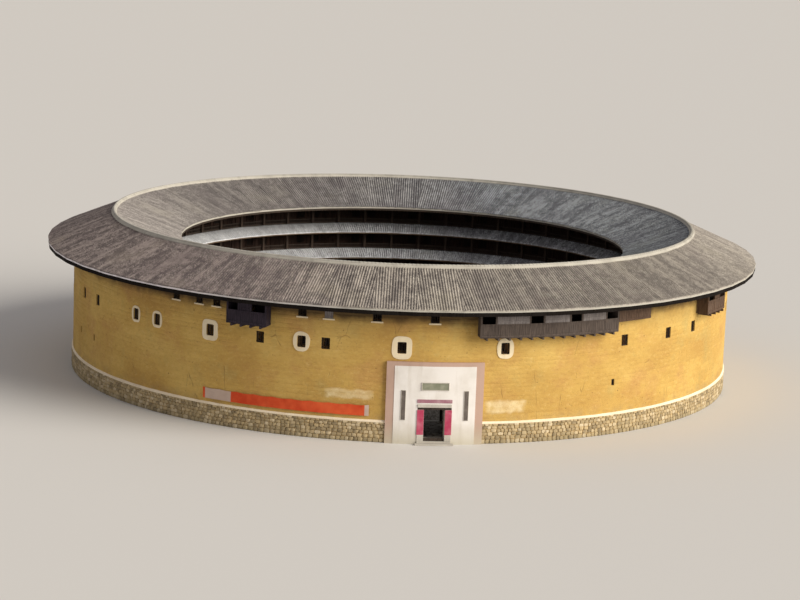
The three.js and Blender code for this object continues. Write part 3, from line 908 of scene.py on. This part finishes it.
def stones_between(start, end):
    """Where the stones of the courses lie, and their sizes: (angle, height, width, tall)."""
    stones = []
    low = 0.0
    for tall in STONE_COURSES:
        angle = start
        while angle < end - 0.3:
            wide = random.uniform(0.26, 0.44) * (1 + tall)
            step = math.degrees(wide / WALL_OUTER)
            middle = min(angle, end - step) + step / 2
            lift = random.uniform(-0.02, 0.02) if low else 0.0
            stones.append((middle, low + tall / 2 + lift, wide, tall * random.uniform(0.92, 1.12)))
            angle += step
        low += tall
    return stones


def make_plinth_quarter(name, start, end, shapes):
    """River stones in courses, each its own tone, bedded in an earth mortar wall."""
    core = WALL_OUTER - 0.01
    bed = slab(WALL_INNER, core, 0, PLINTH_TOP, start, end, round((end - start) * 1.2))
    tones = bed.verts.layers.float.new("stone_tone")
    for vert in bed.verts:
        vert[tones] = MORTAR_TONE
    for angle, height, wide, tall in stones_between(start, end):
        stone = random.choice(shapes).copy()
        turned = Matrix.Rotation(random.uniform(-0.12, 0.12), 4, "Y")
        sized = Matrix.Diagonal((wide * 1.02, random.uniform(0.17, 0.25), tall * 1.02, 1))
        stone.transform(turn(angle) @ Matrix.Translation((0, -core, height)) @ turned @ sized)
        tone = random.random()
        stone.attributes["stone_tone"].data.foreach_set("value", [tone] * len(stone.vertices))
        bed.from_mesh(stone)
        bpy.data.meshes.remove(stone)
    for vert in bed.verts:
        vert.co.z = max(0.0, vert.co.z)
    place(bed, f"rubble_{name}", RUBBLE, [f"plinth_{name}"], smooth=50)


def make_plinth():
    gate = math.degrees(math.asin(GATE["frame_half"] / WALL_OUTER))
    shapes = stone_shapes()
    ends = [gate, 90, 180, 270, 360 - gate]
    for name, start, end in zip(("front_right", "back_right", "back_left", "front_left"), ends, ends[1:]):
        make_plinth_quarter(name, start, end, shapes)
    for stone in shapes:
        bpy.data.meshes.remove(stone)


def make_fillet():
    """A sloped strip of mortar along the top of the plinth, from one side of the gate to the other."""
    behind, out = WALL_FACE - 0.05, WALL_OUTER + 0.1
    foot, lip, head = PLINTH_TOP - 0.06, PLINTH_TOP + 0.02, PLINTH_TOP + 0.2
    fillet = arc([(behind, foot), (out, foot), (out, lip), (behind, head)], *FILLET_ENDS, 345)
    for vert in fillet.verts:
        vert.co.z += 0.02 * noise.noise(vert.co * 2.1)
    place(fillet, "plinth_fillet", FILLET, smooth=40)


# Gate front


def make_facade():
    """The plastered front round the gate, and its painted border."""
    foot, face, top = WALL_FACE - 0.05, FACADE["face"], FACADE["top"]
    half, side = FACADE["half"], FACADE["side"]
    hole = through_wall(GATE["frame_half"], -1, GATE["frame_top"])
    sheet = carve(slab(foot, face, 0, top, -half, half, 24), hole)
    place(sheet, "plaster_front", PLASTER, ["gate_facade"], smooth=25)
    face -= 0.03
    strips = joined(
        slab(foot, face, top, FACADE["border_top"], -side, side, 24),
        slab(foot, face, 0, top, -side, -half, 2),
        slab(foot, face, 0, top, half, side, 2),
    )
    place(strips, "plaster_front_border", BORDER, smooth=25)


def framed_panel(x, z, front, rim, rise):
    """A plain panel sunk inside a raised rim, standing on the front's face."""
    (left, right), (low, high) = x, z
    depth, inside = (front, front + 0.12), (low + rim, high - rim)
    bars = [(x, depth, span) for span in ((high - rim, high), (low, low + rim))]
    bars += [(span, depth, inside) for span in ((left, left + rim), (right - rim, right))]
    panel = shape(((left + rim, right - rim), (front + rise, front + 0.12), inside))
    return panel, shape(*bars, bevel=0.01)


def make_tablets():
    face = -FACADE["face"]
    panel, rims = framed_panel(*NAME_TABLET, face - 0.06, 0.06, 0.03)
    place(panel, "name_tablet", TABLET)
    place(rims, "name_tablet_frame", DRESSED_STONE)
    panel, rims = framed_panel(*SIDE_TABLET, face - 0.05, 0.04, 0.02)
    place(around(panel, SIDE_TABLETS), "side_tablets", DARK_TABLET)
    place(around(rims, SIDE_TABLETS), "side_tablet_frames", DRESSED_STONE)
    x, z = FADED_STRIP
    place(shape((x, (face - 0.012, face + 0.05), z)), "faded_strip", FADED_PAPER)


def make_gate_frame():
    """Dressed jambs and a long lintel, with plain red paper on the jambs."""
    half, outer, top = GATE["half"], GATE["frame_half"], GATE["top"]
    front, back = -GATE["front"], -GATE["back"]
    blocks = []
    levels = [GROUND_FLOOR, 1.25, 2.25, top]
    for low, high in zip(levels, levels[1:]):
        for side in (-1, 1):
            x = between(side * half, side * outer)
            blocks.append((x, (front, back), (low + 0.004, high - 0.004)))
    blocks.append(((-outer, outer), (front - 0.02, back), (GATE["lintel"], GATE["frame_top"])))
    place(shape(*blocks, bevel=0.018), "gate_stones", DRESSED_STONE, ["gate_frame"])
    sheets = [between(side * (half + 0.01), side * (outer + 0.02)) for side in (-1, 1)]
    papers = shape(*((x, (front - 0.008, front + 0.02), (0.9, 3.19)) for x in sheets))
    place(papers, "jamb_papers", RED_PAPER)


def make_gate_sill():
    half = GATE["frame_half"]
    slabs = [
        ((-half, half), (-SILL_FRONT, -WALL_INNER * FLAT), (0, GROUND_FLOOR)),
        ((-1.75, 1.75), (-STEP_FRONT, -SILL_FRONT - 0.002), (0, 0.15)),
    ]
    place(shape(*slabs, bevel=0.02), "gate_steps", DRESSED_STONE, ["gate_sill"])


def make_gate_timbers():
    """The old timber head under the lintel, and the high threshold board between the jambs."""
    outer, half = GATE["frame_half"], GATE["half"]
    head = ((-outer, outer), (-GATE["front"] + 0.06, -GATE["back"]), (GATE["top"], GATE["lintel"]))
    # The high threshold board, in dark old timber, is partly a real threshold and partly painted shade at
    # the foot of the gate opening.
    depth = (-THRESHOLD["front"], -THRESHOLD["back"])
    board = ((-half, half), depth, (GROUND_FLOOR, GROUND_FLOOR + THRESHOLD["tall"]))
    place(shape(head, board, bevel=0.012), "gate_timbers", OLD_TIMBER)


def leaf_boards(x, face, back, start, long):
    """Planks, and the ledges across their back."""
    inward = -1 if x > 0 else 1
    spread, height = between(x - inward * 0.01, face), (LEAF["low"], LEAF["high"])
    bars = [(spread, y, height) for y in planks_across(start, start + long, LEAF_PLANKS, 0.003)]
    spread, length = between(x - inward * 0.008, back), (start + 0.04, start + long - 0.03)
    bars += [(spread, length, (z - 0.07, z + 0.07)) for z in LEAF_LEDGES]
    return shape(*bars, bevel=0.008)


def leaf_pins(x):
    """The round pins that a leaf turns on, below and above it."""
    pins = bmesh.new()
    for low, high in ((LEAF_PINS[0], LEAF["low"] + 0.02), (LEAF["high"] - 0.02, LEAF_PINS[1])):
        middle = Matrix.Translation((x, LEAF["pivot_y"], (low + high) / 2))
        cone(pins, 0.038, 0.038, high - low, 16, middle)
    return pins


def make_leaf(name, side):
    """A plank leaf, open against the passage: studded planks, ledges behind them, and turning pins."""
    x = side * LEAF["pivot_x"]
    face, back = x - side * LEAF["thick"] / 2, x + side * LEAF["thick"] / 2
    start, long = LEAF["pivot_y"] - LEAF["thick"] / 2, LEAF["long"] + LEAF["thick"] / 2
    leaf = joined(leaf_boards(x, face, back, start, long), leaf_pins(x))
    place(leaf, f"{name}_leaf_planks", TIMBER, [f"gate_leaf_{name}"], f"{name}_leaf")
    studs = bmesh.new()
    for z in LEAF_LEDGES:
        for y in centres(start, start + long, LEAF_PLANKS):
            spot = Matrix.Translation((face, y, z))
            bmesh.ops.create_icosphere(studs, subdivisions=1, radius=0.022, matrix=spot)
    place(studs, f"{name}_leaf_studs", IRON, (), f"{name}_leaf", smooth=60)


# Tiles


def tile_row(vert, columns):
    """Where a grid point lies across the tile rows, and how high the tiles stand there."""
    column = round((vert.co.x + 0.5) * columns)
    share, rise = TILE_PROFILE[column % len(TILE_PROFILE)]
    return column // len(TILE_PROFILE) + share, rise


def number_tiles(bm, columns, courses):
    """A map that counts the tile rows across and the courses along each row."""
    tiles = bm.loops.layers.uv.new("tiles")
    for face in bm.faces:
        column = int((face.calc_center_median().x + 0.5) * columns) % len(TILE_PROFILE)
        lap = 0.5 if column in COVER_COLUMNS else 0
        for loop in face.loops:
            row, _ = tile_row(loop.vert, columns)
            loop[tiles].uv = (2 * row + 0.5, (loop.vert.co.y + 0.5) * courses + lap)


def cut_to_bay(bm):
    """Cuts a bay off along the two lines where it meets its neighbours."""
    angle = math.radians(BAY / 2)
    for side in (-1, 1):
        bmesh.ops.bisect_plane(
            bm, geom=[*bm.verts, *bm.edges, *bm.faces], plane_co=(0, 0, 0),
            plane_no=(side * math.cos(angle), math.sin(angle), 0), clear_outer=True,
        )


def close_below(bm, surface):
    """Drops the rim of a bay onto the slope, and closes it there."""
    rim = [edge for edge in bm.edges if edge.is_boundary]
    dropped = bmesh.ops.extrude_edge_only(bm, edges=rim)["geom"]
    for item in dropped:
        if isinstance(item, bmesh.types.BMVert):
            item.co.z = surface(-item.co.y / FLAT) + 0.002
    rim = [edge for edge in bm.edges if edge.is_boundary]
    bmesh.ops.edgeloop_fill(bm, edges=rim)
    bmesh.ops.recalc_face_normals(bm, faces=bm.faces)


def tile_bay(high_radius, low_radius, surface, lengths):
    """One bay of tile rows down a slope, rows square to the eave and cut off at the bay lines."""
    rows = math.ceil(2 * half_bay(max(high_radius, low_radius)) / TILE_PITCH)
    columns = rows * len(TILE_PROFILE)
    fall = surface(high_radius) - surface(low_radius)
    courses = math.hypot(high_radius - low_radius, fall) / TILE_EXPOSURE
    bm = bmesh.new()
    bmesh.ops.create_grid(bm, x_segments=columns, y_segments=lengths, size=0.5)
    number_tiles(bm, columns, courses)
    for vert in bm.verts:
        row, rise = tile_row(vert, columns)
        radius = high_radius + (low_radius - high_radius) * (vert.co.y + 0.5)
        vert.co = ((row - rows / 2) * TILE_PITCH, -radius * FLAT, surface(radius) + TILE_BED + rise)
    cut_to_bay(bm)
    close_below(bm, surface)
    return bm


def count_on(mesh, angle):
    """Moves a bay's row numbers on, so that no two bays look alike."""
    for corner in mesh.uv_layers["tiles"].uv:
        corner.vector.x += 40 * round(angle)


def tiled_ring(high_radius, low_radius, surface, lengths, angles):
    """Bays of tiles round the house, with the sag and unevenness of an old roof."""
    ring = around(tile_bay(high_radius, low_radius, surface, lengths), angles, count_on)
    for vert in ring.verts:
        spot = Vector((vert.co.x, vert.co.y, vert.co.z * 2))
        vert.co.z += 0.03 * noise.noise(spot * 0.4) + 0.014 * noise.noise(spot * 2.6)
    return ring


def make_roof_tiles():
    """Both slopes, in right and left halves, over the fixed roof shells."""
    slopes = [
        ("outer", RIDGE_RADIUS + 0.1, EAVE_RADIUS + 0.06, outer_top, OUTER_TILES),
        ("inner", RIDGE_RADIUS - 0.1, INNER_EAVE_RADIUS - 0.06, inner_top, INNER_TILES),
    ]
    for slope, high, low, surface, tiles in slopes:
        for side, first in (("right", 1), ("left", 1 + BAYS // 2)):
            ring = tiled_ring(high, low, surface, 10, bays(first, BAYS // 2))
            place(ring, f"{slope}_tiles_{side}", tiles, smooth=50)


def make_skirt_tiles():
    for storey, floor in ((3, FLOORS[1]), (4, FLOORS[2])):
        ring = tiled_ring(SKIRT["outer"] - 0.02, SKIRT["inner"] - 0.05, skirt_top(floor), 3, bays())
        place(ring, f"skirt_tiles_{storey}", SKIRT_TILES, smooth=50)


def make_ridge_bed():
    """A battered mortar bed all round the top."""
    near, far = RIDGE_RADIUS - 0.27, RIDGE_RADIUS + 0.27
    section = [
        (near, inner_top(near)), (far, outer_top(far)), (far, outer_top(far) + 0.16),
        (far - 0.1, RIDGE_BED), (near + 0.1, RIDGE_BED), (near, inner_top(near) + 0.16),
    ]
    mortar = arc(section, 0, 360, 324)
    for vert in mortar.verts:
        if vert.co.z > RIDGE_Z + 0.1:
            vert.co.z += 0.02 * noise.noise(vert.co * 1.3)
    place(mortar, "ridge_mortar", MORTAR, ["roof_ridge"], smooth=35)


def make_ridge_tiles():
    """One line of lapped cover tiles along the bed."""
    count = 500
    long = 2 * math.pi * RIDGE_RADIUS / count
    tile = bmesh.new()
    laid = Matrix.Translation((0, -RIDGE_RADIUS, RIDGE_BED)) @ Matrix.Rotation(math.pi / 2, 4, "Y")
    cone(tile, 0.15, 0.12, long * 1.12, 12, laid)
    caps = around(tile, [360 * i / count for i in range(count)])
    place(caps, "ridge_tiles", RIDGE_TILE, smooth=50)


# Eaves


def hung_from(bm, surface, clearance):
    """Brings bars made about height 0 up to the underside of a slope."""
    for vert in bm.verts:
        vert.co.z += surface(-vert.co.y / FLAT) - clearance
    return bm


def make_rafters():
    """Poles under both slopes, from the wall and from the gallery posts out to the eaves."""
    angles = centres(0, 360, BAYS * 8)
    for name, far, near, surface, clearance in (
        ("outer_rafters", -EAVE_RADIUS + 0.1, -WALL_OUTER, outer_under, 0.03),
        ("inner_rafters", -GALLERY_EDGE + POST, -INNER_EAVE_RADIUS - 0.1, inner_under, 0.005),
    ):
        pole = shape(((-0.05, 0.05), (far, near), (-0.15, 0)))
        place(around(hung_from(pole, surface, clearance), angles), name, RAFTERS)


def make_eaves():
    """The mortar and the board along the edge of each slope."""
    edge, top = EAVE_RADIUS, EAVE_Z + 0.035
    mortar = eave_ring(edge - 0.01, edge + 0.05, top - 0.2, top)
    place(mortar, "eave_mortar", EAVE_MORTAR)
    # The outer eave board is near-black: painted shade under the eave.
    board = eave_ring(edge - 0.01, edge + 0.03, top - 0.56, top - 0.2)
    place(board, "outer_eave_board", SHADE_BLACK_BOARDS)
    edge, top = INNER_EAVE_RADIUS, INNER_EAVE_Z + 0.03
    mortar = eave_ring(edge - 0.06, edge + 0.01, top - 0.15, top + 0.01)
    place(mortar, "inner_eave_mortar", MORTAR)
    board = eave_ring(edge - 0.04, edge + 0.01, top - 0.36, top - 0.15)
    place(board, "inner_eave_board", OLD_TIMBER)


def make_eave_beam():
    """A beam all round under the outer rafters, on sloping struts from the wall."""
    near, far = EAVE_BEAM["near"], EAVE_BEAM["far"]
    beam = eave_ring(near, far, EAVE_BEAM["low"], EAVE_BEAM["high"])
    strut = shape(((-0.07, 0.07), (-far + 0.03, -WALL_FACE + 0.1), (-0.08, 0.08)))
    for vert in strut.verts:
        vert.co.z += EAVE_BEAM["low"] - 0.08 + (-vert.co.y - far + 0.05) * EAVE_BEAM["strut_slope"]
    place(joined(beam, around(strut, bays(offset=0.5))), "eave_beam", RAFTERS)


# Timber galleries


def balustrade_bay(floor):
    """Planks below and turned bars above, between three rails."""
    half = half_bay(GALLERY_EDGE)
    face = 0.03 * FLAT
    bars = [
        ((-half, half), (-face - 0.01, face + 0.01), (0.04, 0.14)),
        ((-half, half), (-face - 0.01, face + 0.01), (0.6, 0.68)),
        ((-half, half), (-face - 0.03, face + 0.03), (0.93, 1.02)),
    ]
    depth, height = (0.012 - face, face - 0.012), (0.14, 0.6)
    bars += [(x, depth, height) for x in planks_across(-half, half, 14, 0.006)]
    depth, height = (0.01 - face, face - 0.01), (0.68, 0.93)
    bars += [((x - 0.022, x + 0.022), depth, height) for x in centres(-half, half, 18)]
    return shape(*bars, at=(0, -BALUSTRADE * FLAT, floor))


def front_boards(half, high):
    """The boarding of a bay, with its sill, head, end posts and middle rail."""
    return [
        ((-half, half), (-0.08, 0), (0, high)),
        ((-half, half), (0, 0.06), (0, 0.16)),
        ((-half, half), (0, 0.06), (high - 0.16, high)),
        ((-half - 0.02, -half + 0.12), (0, 0.08), (0, high)),
        ((half - 0.12, half + 0.02), (0, 0.08), (0, high)),
        ((-half, half), (0, 0.045), (2.06, 2.14)),
    ]


def front_door(x):
    """Two door leaves, each with two raised panels, between their jambs."""
    bars = []
    for near, far in ((x - 0.42, x - 0.004), (x + 0.004, x + 0.42)):
        bars.append(((near, far), (0, 0.035), (0.18, 2.05)))
        bars += [((near + 0.06, far - 0.06), (0.035, 0.048), z) for z in ((0.3, 0.95), (1.1, 1.92))]
    return bars + [((jamb, jamb + 0.07), (0, 0.07), (0.16, 2.06)) for jamb in (x - 0.49, x + 0.42)]


def front_window(x, sill, head):
    """A frame and upright bars."""
    bars = [((jamb, jamb + 0.06), (0, 0.07), (sill, head)) for jamb in (x - 0.5, x + 0.44)]
    bars += [((x - 0.54, x + 0.54), (0, 0.08), (z, z + 0.06)) for z in (sill - 0.06, head)]
    for upright in centres(x - 0.44, x + 0.44, 7):
        bars.append(((upright - 0.014, upright + 0.014), (0.012, 0.045), (sill, head)))
    return bars


def front_panel(low, high, side):
    """A bay of room front seen from the gallery: boards, a two-leaf door, and a barred window with a
    sheet of painted shade behind it.
    """
    half = half_bay(ROOM_FRONT)
    foot = (0, -ROOM_FRONT * FLAT, low)
    door, window, sill, head = side * 0.75, -side * 0.72, 0.95, 1.85
    wood = front_boards(half, high - low) + front_door(door) + front_window(window, sill, head)
    # A near-black sheet behind the window bars is painted shade for the dark room inside.
    dark = shape(((window - 0.44, window + 0.44), (0, 0.01), (sill, head)), at=foot)
    return shape(*wood, at=foot), dark


def storey_fronts(storey, low, high):
    """Room fronts round one storey, doors to the left and right by turns; the gate's bay stays open."""
    boards, window_shade_sheets = [], []
    for side, first in ((1, 0), (-1, 1)):
        wood, dark = front_panel(low, high, side)
        angles = [angle for angle in bays(first, BAYS // 2, 2) if storey > 1 or angle]
        boards.append(around(wood, angles))
        window_shade_sheets.append(around(dark, angles))
    place(joined(*boards), f"room_boards_{storey}", ROOM_BOARDS, [f"room_front_{storey}"])
    place(joined(*window_shade_sheets), f"room_window_shades_{storey}", WINDOW_SHADE_BLACK)


def make_galleries():
    ceilings = [floor - FLOOR_THICK for floor in FLOORS] + [inner_under(ROOM_FRONT) - 0.06]
    for storey, (low, high) in enumerate(zip([GROUND_FLOOR, *FLOORS], ceilings), 1):
        storey_fronts(storey, low, high)
    for storey, floor in enumerate(FLOORS, 2):
        ring = around(balustrade_bay(floor), bays())
        place(ring, f"balustrade_boards_{storey}", OLD_TIMBER, [f"balustrade_{storey}"])


def make_post_bases():
    """A round stone under every gallery post."""
    stone = bmesh.new()
    under_post = Matrix.Translation((0, -GALLERY_EDGE + POST / 2, GROUND_FLOOR + 0.08))
    cone(stone, 0.32, 0.19, 0.16, 14, under_post)
    place(around(stone, bays(offset=0.5)), "post_bases", DRESSED_STONE, smooth=40)


def make_joists():
    """Joist ends under each gallery, and knees under the tiled skirts."""
    parts = []
    for floor in FLOORS:
        low = floor - FLOOR_THICK
        joist = shape(((-0.06, 0.06), (-27.3, -GALLERY_EDGE - 0.02), (low - 0.14, low)))
        parts.append(around(joist, centres(0, 360, BAYS * 4)))
    for floor in FLOORS[1:]:
        top = skirt_top(floor)
        knee = shape(((-0.05, 0.05), (-SKIRT["outer"], -SKIRT["inner"] - 0.1), (-0.12, 0)))
        for vert in knee.verts:
            vert.co.z += top(-vert.co.y) - 0.17
        parts.append(around(knee, bays(offset=0.5)))
    place(joined(*parts), "gallery_joists", POSTS)


# Lookouts


def spread_round(start, end, wide, radius):
    """Angles for boards of about a given width, side by side along a curved face."""
    return centres(start, end, max(2, round(length_round(start, end, radius) / wide)))


def upright_planks(start, end, wide, face, height):
    angles = spread_round(start, end, wide, face)
    half = length_round(start, end, face) / len(angles) / 2 - 0.008
    return around(shape(((-half, half), (0, 0.04), height), at=(0, -face, 0)), angles)


def end_walls(start, end, face, height):
    wall = shape(((-0.03, 0.03), (-face + 0.02, -WALL_FACE + 0.03), height))
    return around(wall, [start + 0.06, end - 0.06])


def make_lookout(name, start, end, material, shutter_material):
    """A boarded box on joists: parapet planks, posts, a head beam and boarded-up lights."""
    face, low, floor = LOOKOUT["face"], LOOKOUT["low"], LOOKOUT["floor"]
    parapet, head, top = LOOKOUT["parapet"], LOOKOUT["head"], LOOKOUT["top"]
    steps = max(3, round((end - start) / 1.5))
    back = WALL_FACE - 0.03
    posts, boarded = LIGHTS[name]
    post_angles = [start + (end - start) * share for share in posts]
    post = shape(((-0.08, 0.08), (-face - 0.02, -face + 0.12), (low, top)))
    joist = shape(((-0.08, 0.08), (-face - 0.12, -back), (LOOKOUT["joists"], low)))
    box = joined(
        slab(back, face, low, floor, start, end, steps),
        slab(face - 0.09, face + 0.04, parapet - 0.07, parapet + 0.03, start, end, steps),
        slab(face - 0.1, face, head, top, start, end, steps),
        slab(face - 0.02, face + 0.05, floor - 0.1, floor + 0.06, start, end, steps),
        upright_planks(start, end, 0.2, face, (floor - 0.12, parapet - 0.05)),
        around(post, post_angles),
        around(joist, spread_round(start, end, 1.1, face)),
        end_walls(start, end, face, (floor, top)),
    )
    place(box, f"{name}_boards", material, [name])
    shutters = [boarded_light(post_angles[i], post_angles[i + 1]) for i in boarded]
    place(joined(*shutters), f"{name}_shutters", shutter_material)


def boarded_light(start, end):
    """Upright boards on two rails that close one light of a lookout."""
    face, low, high = LOOKOUT["face"], LOOKOUT["parapet"] + 0.03, LOOKOUT["head"]
    half = length_round(start, end, face) / 2 - 0.08
    boards = planks_across(-half, half, max(2, round(half / 0.11)), 0.004)
    bars = [(x, (0.02, 0.045), (low, high)) for x in boards]
    rail = (-half + 0.02, half - 0.02)
    bars += [(rail, (0, 0.02), (z, z + 0.08)) for z in (low + 0.2, high - 0.3)]
    return around(shape(*bars, at=(0, -face, 0)), [(start + end) / 2])


def make_lookout_linings():
    """Near-black boarding against the earth wall inside each lookout, beside and over its door: painted
    shade for the dark inside.
    """
    near, far, floor, top = WALL_FACE + 0.03, WALL_FACE + 0.06, LOOKOUT["floor"], LOOKOUT["top"]
    door, head = 0.85, FLOORS[2] + 1.95
    linings = []
    for _, start, end in LOOKOUTS:
        middle = (start + end) / 2
        linings.append(slab(near, far, floor, top, start + 0.15, middle - door, 8))
        linings.append(slab(near, far, floor, top, middle + door, end - 0.15, 8))
        linings.append(slab(near, far, head, top, middle - door, middle + door, 2))
    place(joined(*linings), "lookout_linings", SHADE_BLACK_BOARDS)


def make_locker():
    """A shallow boarded locker under the eave, on two rails and a floor."""
    start, end, low, high = LOCKER["from"], LOCKER["to"], LOCKER["low"], LOCKER["high"]
    face, back = LOCKER["face"], WALL_FACE - 0.03
    locker = joined(
        upright_planks(start, end, 0.22, face, (low, high)),
        slab(back, face - 0.04, low, low + 0.08, start, end, 5),
        slab(face - 0.02, face + 0.03, low + 0.1, low + 0.2, start, end, 5),
        slab(face - 0.02, face + 0.03, high - 0.25, high - 0.12, start, end, 5),
        end_walls(start, end, face, (low, high)),
    )
    place(locker, "eave_locker_boards", BROWN_BOARDS, ["eave_locker"])


def make_lookouts():
    boards = {"lookout_left": (DARK_BOARDS, DARK_BOARDS), "lookout_right": (BROWN_BOARDS, BROWN_BOARDS)}
    for name, start, end in LOOKOUTS:
        make_lookout(name, start, end, *boards.get(name, (PARAPET_BOARDS, GREY_BOARDS)))
    make_lookout_linings()
    make_locker()


# Ground


def make_kerb():
    """Long kerb stones round the courtyard."""
    count = BAYS * 3
    half = math.pi * WALKWAY_EDGE / count - 0.01
    depth, height = (-WALKWAY_EDGE - 0.34, -WALKWAY_EDGE + 0.06), (0.1, GROUND_FLOOR + 0.03)
    stone = shape(((-half, half), depth, height), bevel=0.02)
    place(around(stone, [360 * i / count for i in range(count)]), "kerb_stones", DRESSED_STONE)


def dress_cad_nodes():
    """Finishes for the CAD nodes that keep their own shape."""
    finishes = {"courtyard_floor": COBBLES, "ground_floor": SLABS, "gate_header": TIMBER}
    posts = ["floor_2", "floor_3", "floor_4"]
    posts += [f"gallery_posts_{side}" for side in ("front", "back_right", "back_left")]
    poles = ["skirt_roof_3", "skirt_roof_4", "roof_outer_right", "roof_outer_left"]
    poles += [f"roof_inner_{side}" for side in ("front", "right", "back", "left")]
    finishes.update({name: POSTS for name in posts})
    finishes.update({name: RAFTERS for name in poles})
    for name, material in finishes.items():
        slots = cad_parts[name].data.materials
        slots.clear()
        slots.append(material)


# Banner


def make_banner():
    """A long plain red banner with pale ends on the wall left of the gate, slack between fixings."""
    start, end, low, high = BANNER["from"], BANNER["to"], BANNER["low"], BANNER["high"]
    radius = WALL_OUTER + BANNER["off_wall"]
    bm = bmesh.new()
    bmesh.ops.create_grid(bm, x_segments=120, y_segments=8, size=0.5)
    length = bm.verts.layers.float.new("length")
    for vert in bm.verts:
        along, up = vert.co.x + 0.5, vert.co.y + 0.5
        vert[length] = along
        angle = math.radians(start + (end - start) * along)
        slack = 0.05 * abs(math.sin(along * 9 * math.pi)) * (0.3 + up)
        out = radius + 0.03 * noise.noise(Vector((along * 30, up * 1.5, 0)))
        vert.co = (out * math.sin(angle), -out * math.cos(angle), low + (high - low) * up - slack)
    banner = place(bm, "wall_banner", CLOTH, smooth=180)


# Stage, camera and light


def make_stage():
    bm = bmesh.new()
    bmesh.ops.create_grid(bm, x_segments=1, y_segments=1, size=600)
    floor = add_object("floor", as_mesh(bm, "floor"))
    look = Finish("pale_floor", 0.95)
    floor.data.materials.append(look.done((0.68, 0.67, 0.65, 1)))


def make_camera():
    lens = bpy.data.cameras.new("camera")
    lens.lens = CAMERA_LENS
    lens.clip_end = 1000
    camera = add_object("camera", lens)
    camera.location = CAMERA_AT
    camera.rotation_euler = (CAMERA_AIM - CAMERA_AT).to_track_quat("-Z", "Y").to_euler()
    camera.rotation_euler.rotate_axis("Z", math.radians(CAMERA_ROLL))
    bpy.context.scene.camera = camera


def make_light():
    """An even studio sky, and one broad warm light from the right."""
    world = bpy.data.worlds.new("studio")
    world.use_nodes = True
    sky = world.node_tree.nodes["Background"]
    sky.inputs["Color"].default_value = SKY_COLOUR
    sky.inputs["Strength"].default_value = SKY_POWER
    bpy.context.scene.world = world
    bpy.context.scene.view_settings.view_transform = "Standard"
    key = bpy.data.lights.new("key", "SUN")
    key.energy = SUN_POWER
    key.angle = math.radians(SUN_SPREAD)
    key.color = SUN_COLOUR
    azimuth, elevation = math.radians(SUN_AZIMUTH), math.radians(SUN_ELEVATION)
    level = Vector((math.sin(azimuth), -math.cos(azimuth), 0)) * math.cos(elevation)
    towards = level + Vector((0, 0, math.sin(elevation)))
    add_object("key", key).rotation_euler = towards.to_track_quat("Z", "Y").to_euler()


make_camera()
make_light()
make_stage()
make_earth_wall()
make_windows()
make_surrounds()
make_shutter()
make_plinth()
make_fillet()
make_facade()
make_tablets()
make_gate_frame()
make_gate_sill()
make_gate_timbers()
make_leaf("left", -1)
make_leaf("right", 1)
make_roof_tiles()
make_skirt_tiles()
make_ridge_bed()
make_ridge_tiles()
make_rafters()
make_eaves()
make_eave_beam()
make_galleries()
make_post_bases()
make_joists()
make_lookouts()
make_kerb()
make_banner()
dress_cad_nodes()
